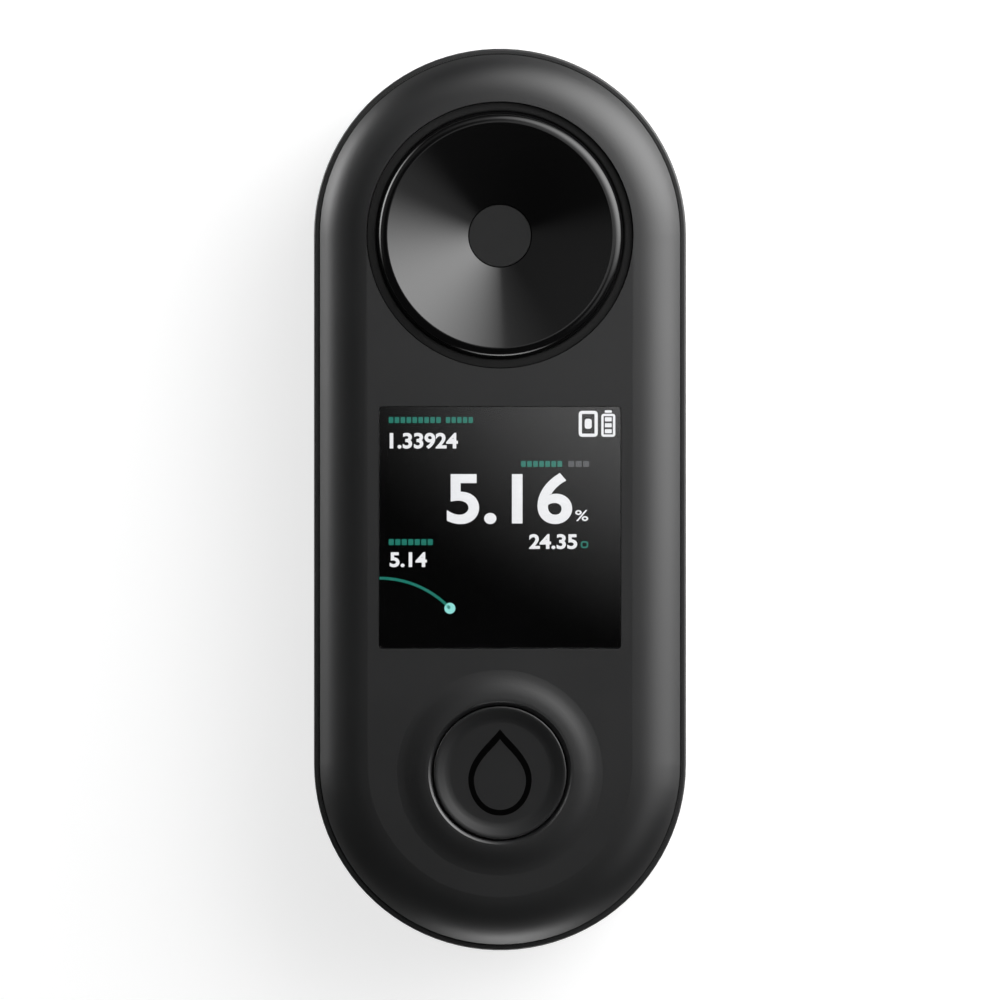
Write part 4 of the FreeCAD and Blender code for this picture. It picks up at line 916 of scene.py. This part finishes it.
lit([write("5.16", 447, 572, 473, 524, 0.022)], "screen_main_reading", WHITE)
lit(
    [
        write("1.33924", 390, 458, 433, 449, 0.03),
        write("24.35", 529, 577, 534, 549, 0.03),
        write("5.14", 390, 427, 552, 567, 0.03),
        write("%", 575, 588, 510, 521, 0.01),
    ],
    "screen_small_readings",
    WHITE,
)
lit(
    [
        *blocks(389, 441, 417.2, 423.2, 9),
        *blocks(446, 473, 417.2, 423.2, 5),
        *blocks(521, 562, 461, 467, 7),
        *blocks(389, 433, 539, 545, 7),
        tile(580.5, 588, 541, 548, 2.6, line=1.6),
    ],
    "screen_labels",
    TEAL,
)
lit(blocks(568, 589, 461, 467, 3), "screen_dim_label", GREY)
lit(
    [
        tile(578.5, 597.5, 411, 437, 3.5, line=3.2),
        tile(584.5, 591.5, 419, 429, 2.4),
        tile(601, 615, 414, 437, 2.5, line=2.4),
        tile(604.5, 611.5, 410.5, 413, 0.8),
        tile(604.6, 611.4, 417.5, 421.6, 0.8),
        tile(604.6, 611.4, 423.4, 427.5, 0.8),
        tile(604.6, 611.4, 429.3, 433.4, 0.8),
    ],
    "screen_icons",
    WHITE,
)

# Curve on the screen: a short stroke spun round its centre, and a dot at its end
CURVE_INNER = 95.3
CURVE_OUTER = 98.1
CURVE_SWEEP = math.radians(46.5)

centre = (*at(380, 674.7), SCREEN_Z)
stroke = start(bpy.ops.mesh.primitive_plane_add, size=1, location=centre)
bpy.ops.mesh.delete(type="ONLY_FACE")
pick(stroke, lambda place: place.x > 0, "verts")
bpy.ops.mesh.delete(type="VERT")
lower, upper = sorted(bmesh.from_edit_mesh(stroke.data).verts, key=lambda vert: vert.co.y)
lower.co = (0, CURVE_INNER * PIXEL, 0)
upper.co = (0, CURVE_OUTER * PIXEL, 0)
bmesh.update_edit_mesh(stroke.data)
take_all("EDGE")
bpy.ops.mesh.spin(steps=48, angle=CURVE_SWEEP, center=centre, axis=(0, 0, 1))
settle(stroke)
lit([stroke], "screen_curve", TEAL)
lit([tile(444.5, 455.5, 602.5, 613.5, 5.4)], "screen_curve_end", MINT)


# Gold contacts in two rows on the tongue of the charging socket, in mm

CONTACTS = 12
CONTACT_PITCH = 0.5
CONTACT_SIZE = (0.26, 3.2, 0.04)
CONTACT_EASE = 0.012
ROW_PLACE = 1.9  # from the tongue's free end to the row's middle
ROW_LIFT = 0.35  # from the tongue's middle

contacts = []
for side in (-1, 1):
    level = (TONGUE[0].z + TONGUE[1].z) / 2 + side * ROW_LIFT * MM
    for number in range(CONTACTS):
        across = (number - (CONTACTS - 1) / 2) * CONTACT_PITCH * MM
        strip = start(
            bpy.ops.mesh.primitive_cube_add,
            size=1,
            location=(across, TONGUE[0].y + ROW_PLACE * MM, level),
        )
        bpy.ops.transform.resize(value=[length * MM for length in CONTACT_SIZE])
        bpy.ops.mesh.bevel(offset=CONTACT_EASE * MM, segments=1, affect="EDGES")
        settle(strip)
        contacts.append(strip)
done(join(contacts), "socket_contacts", GOLD, angle=30)


# Floor and light

FLOOR_SIZE = 6
FLOOR_GAP = 0.05 * MM
FLOOR_TONE = 0.72
FLOOR_NEAR = 0.10
FLOOR_FAR = 0.36
FLOOR_IN_GLOSS = 0.12
LAMPS_AIM = Vector((0, 0, 15 * MM))
DOME_LIGHT = 0.04
ZENITH_LIGHT = 0.02
ZENITH_FROM = 0.55


def make_floor():
    """A plain pale floor just under the object, which keeps its shadow."""
    bpy.ops.object.select_all(action="DESELECT")
    bpy.ops.mesh.primitive_plane_add(size=FLOOR_SIZE, location=(0, 0, -FLOOR_GAP))
    floor = bpy.context.object
    floor.name = "floor"
    paint, tree, shader = new_material(
        "pale_floor",
        Base_Color=(0.4, 0.4, 0.4, 1),
        Roughness=0.9,
        Specular_IOR_Level=0.1,
        Emission_Color=(1, 1, 1, 1),
    )
    rays = add(tree, "ShaderNodeLightPath")
    seen = maths(tree, "ADD", rays.outputs["Is Camera Ray"], rays.outputs["Is Transmission Ray"])
    # Far from the object the floor runs out into the white around it
    place = add(tree, "ShaderNodeTexCoord")
    away = vector_maths(tree, "LENGTH", place.outputs["Object"], output="Value")
    tone = ramp(
        tree, away, FLOOR_NEAR, FLOOR_FAR, FLOOR_TONE, 1.0, interpolation_type="SMOOTHSTEP"
    )
    mirrored = maths(tree, "MULTIPLY", rays.outputs["Is Glossy Ray"], FLOOR_IN_GLOSS)
    strength = maths(tree, "MULTIPLY_ADD", seen, tone, mirrored)
    link(tree, strength, shader.inputs["Emission Strength"])
    # It is open from below, and to the short rays of a face that lies on it
    side = add(tree, "ShaderNodeNewGeometry")
    near = maths(tree, "LESS_THAN", rays.outputs["Ray Length"], 10 * FLOOR_GAP)
    open_part = maths(tree, "MAXIMUM", side.outputs["Backfacing"], near)
    clear = add(tree, "ShaderNodeBsdfTransparent")
    either = add(tree, "ShaderNodeMixShader")
    feed(tree, either, (open_part, shader.outputs["BSDF"], clear.outputs["BSDF"]))
    link(tree, either.outputs["Shader"], tree.nodes["Material Output"].inputs["Surface"])
    floor.data.materials.append(paint)


def lamp(
    name, azimuth, elevation, distance, width, height, radiance, soft=1.0, skew=0.0, taper=0.0
):
    """A soft oval lamp, brightest in its middle. Angles are in degrees, azimuth from +X.

    Soft is the share of its radius over which it fades. Skew leans its upper part sideways,
    and taper narrows its lower part.
    """
    data = bpy.data.lights.new(name, "AREA")
    data.shape = "RECTANGLE"
    data.size = width
    data.size_y = height
    data.energy = math.pi * width * height
    data.use_nodes = True
    tree = data.node_tree
    place = add(tree, "ShaderNodeNewGeometry")
    offset = vector_maths(tree, "SUBTRACT", place.outputs["Parametric"], (0.5, 0.5, 0))
    flat = vector_maths(tree, "MULTIPLY", offset, (2, 2, 0))
    leant = vector_maths(tree, "DOT_PRODUCT", flat, (1, -skew, 0), output="Value")
    upward = split(tree, flat)["Y"]
    narrowed = maths(tree, "DIVIDE", leant, maths(tree, "MULTIPLY_ADD", upward, taper, 1.0))
    spot = combine(tree, X=narrowed, Y=upward)
    reach = vector_maths(tree, "LENGTH", spot, output="Value")
    fade = ramp(tree, reach, 1.0 - soft, 1.0, radiance, 0.0, interpolation_type="SMOOTHSTEP")
    link(tree, fade, tree.nodes["Emission"].inputs["Strength"])
    item = bpy.data.objects.new(name, data)
    bpy.context.collection.objects.link(item)
    item.visible_camera = False
    turn = math.radians(azimuth)
    rise = math.radians(elevation)
    way = Vector(
        (math.cos(turn) * math.cos(rise), math.sin(turn) * math.cos(rise), math.sin(rise))
    )
    item.location = LAMPS_AIM + way * distance
    item.rotation_euler = way.to_track_quat("Z", "Y").to_euler()


def make_world():
    """A faint dome, darker overhead, in a white that only the camera sees."""
    world = bpy.data.worlds.new("world")
    bpy.context.scene.world = world
    world.use_nodes = True
    tree = world.node_tree
    background = tree.nodes["Background"]
    background.inputs["Color"].default_value = (1, 1, 1, 1)
    place = add(tree, "ShaderNodeTexCoord")
    upward = split(tree, place.outputs["Generated"])["Z"]
    dome = ramp(
        tree,
        upward,
        ZENITH_FROM,
        1.0,
        DOME_LIGHT,
        ZENITH_LIGHT,
        interpolation_type="SMOOTHSTEP",
    )
    rays = add(tree, "ShaderNodeLightPath")
    shown = add(tree, "ShaderNodeMix", data_type="FLOAT", B=1.0)
    link(tree, rays.outputs["Is Camera Ray"], shown.inputs["Factor"])
    link(tree, dome, shown.inputs["A"])
    link(tree, shown.outputs["Result"], background.inputs["Strength"])


make_floor()
# Azimuth, elevation, distance, width, height and radiance of each lamp
lamp("key_lamp", 33, 22, 0.30, 0.72, 0.64, 7.7, skew=0.45, taper=0.5)
lamp("end_lamp", -22, 44, 0.42, 0.36, 0.34, 0.8)
lamp("side_lamp", 90, 39, 0.45, 0.46, 0.40, 0.75)
lamp("upper_lamp", 40, 56, 0.40, 0.84, 0.32, 0.8)
lamp("fill_lamp", 148, 36, 0.45, 0.80, 0.30, 0.2, soft=0.6)
lamp("left_lamp", 158, 5, 0.40, 0.52, 0.22, 12.0)
lamp("low_lamp", 273, 3, 0.40, 0.44, 0.18, 9.5)
lamp("top_lamp", 45, 71, 0.37, 0.27, 0.27, 1.0, soft=0.46)
lamp("pane_lamp", 55, 85.8, 0.37, 0.11, 0.08, 0.8)
lamp("under_lamp", 60, -70, 0.42, 0.55, 0.45, 3.0, soft=0.7)
lamp("under_side_lamp", 240, -28, 0.50, 0.34, 0.26, 2.2)
make_world()
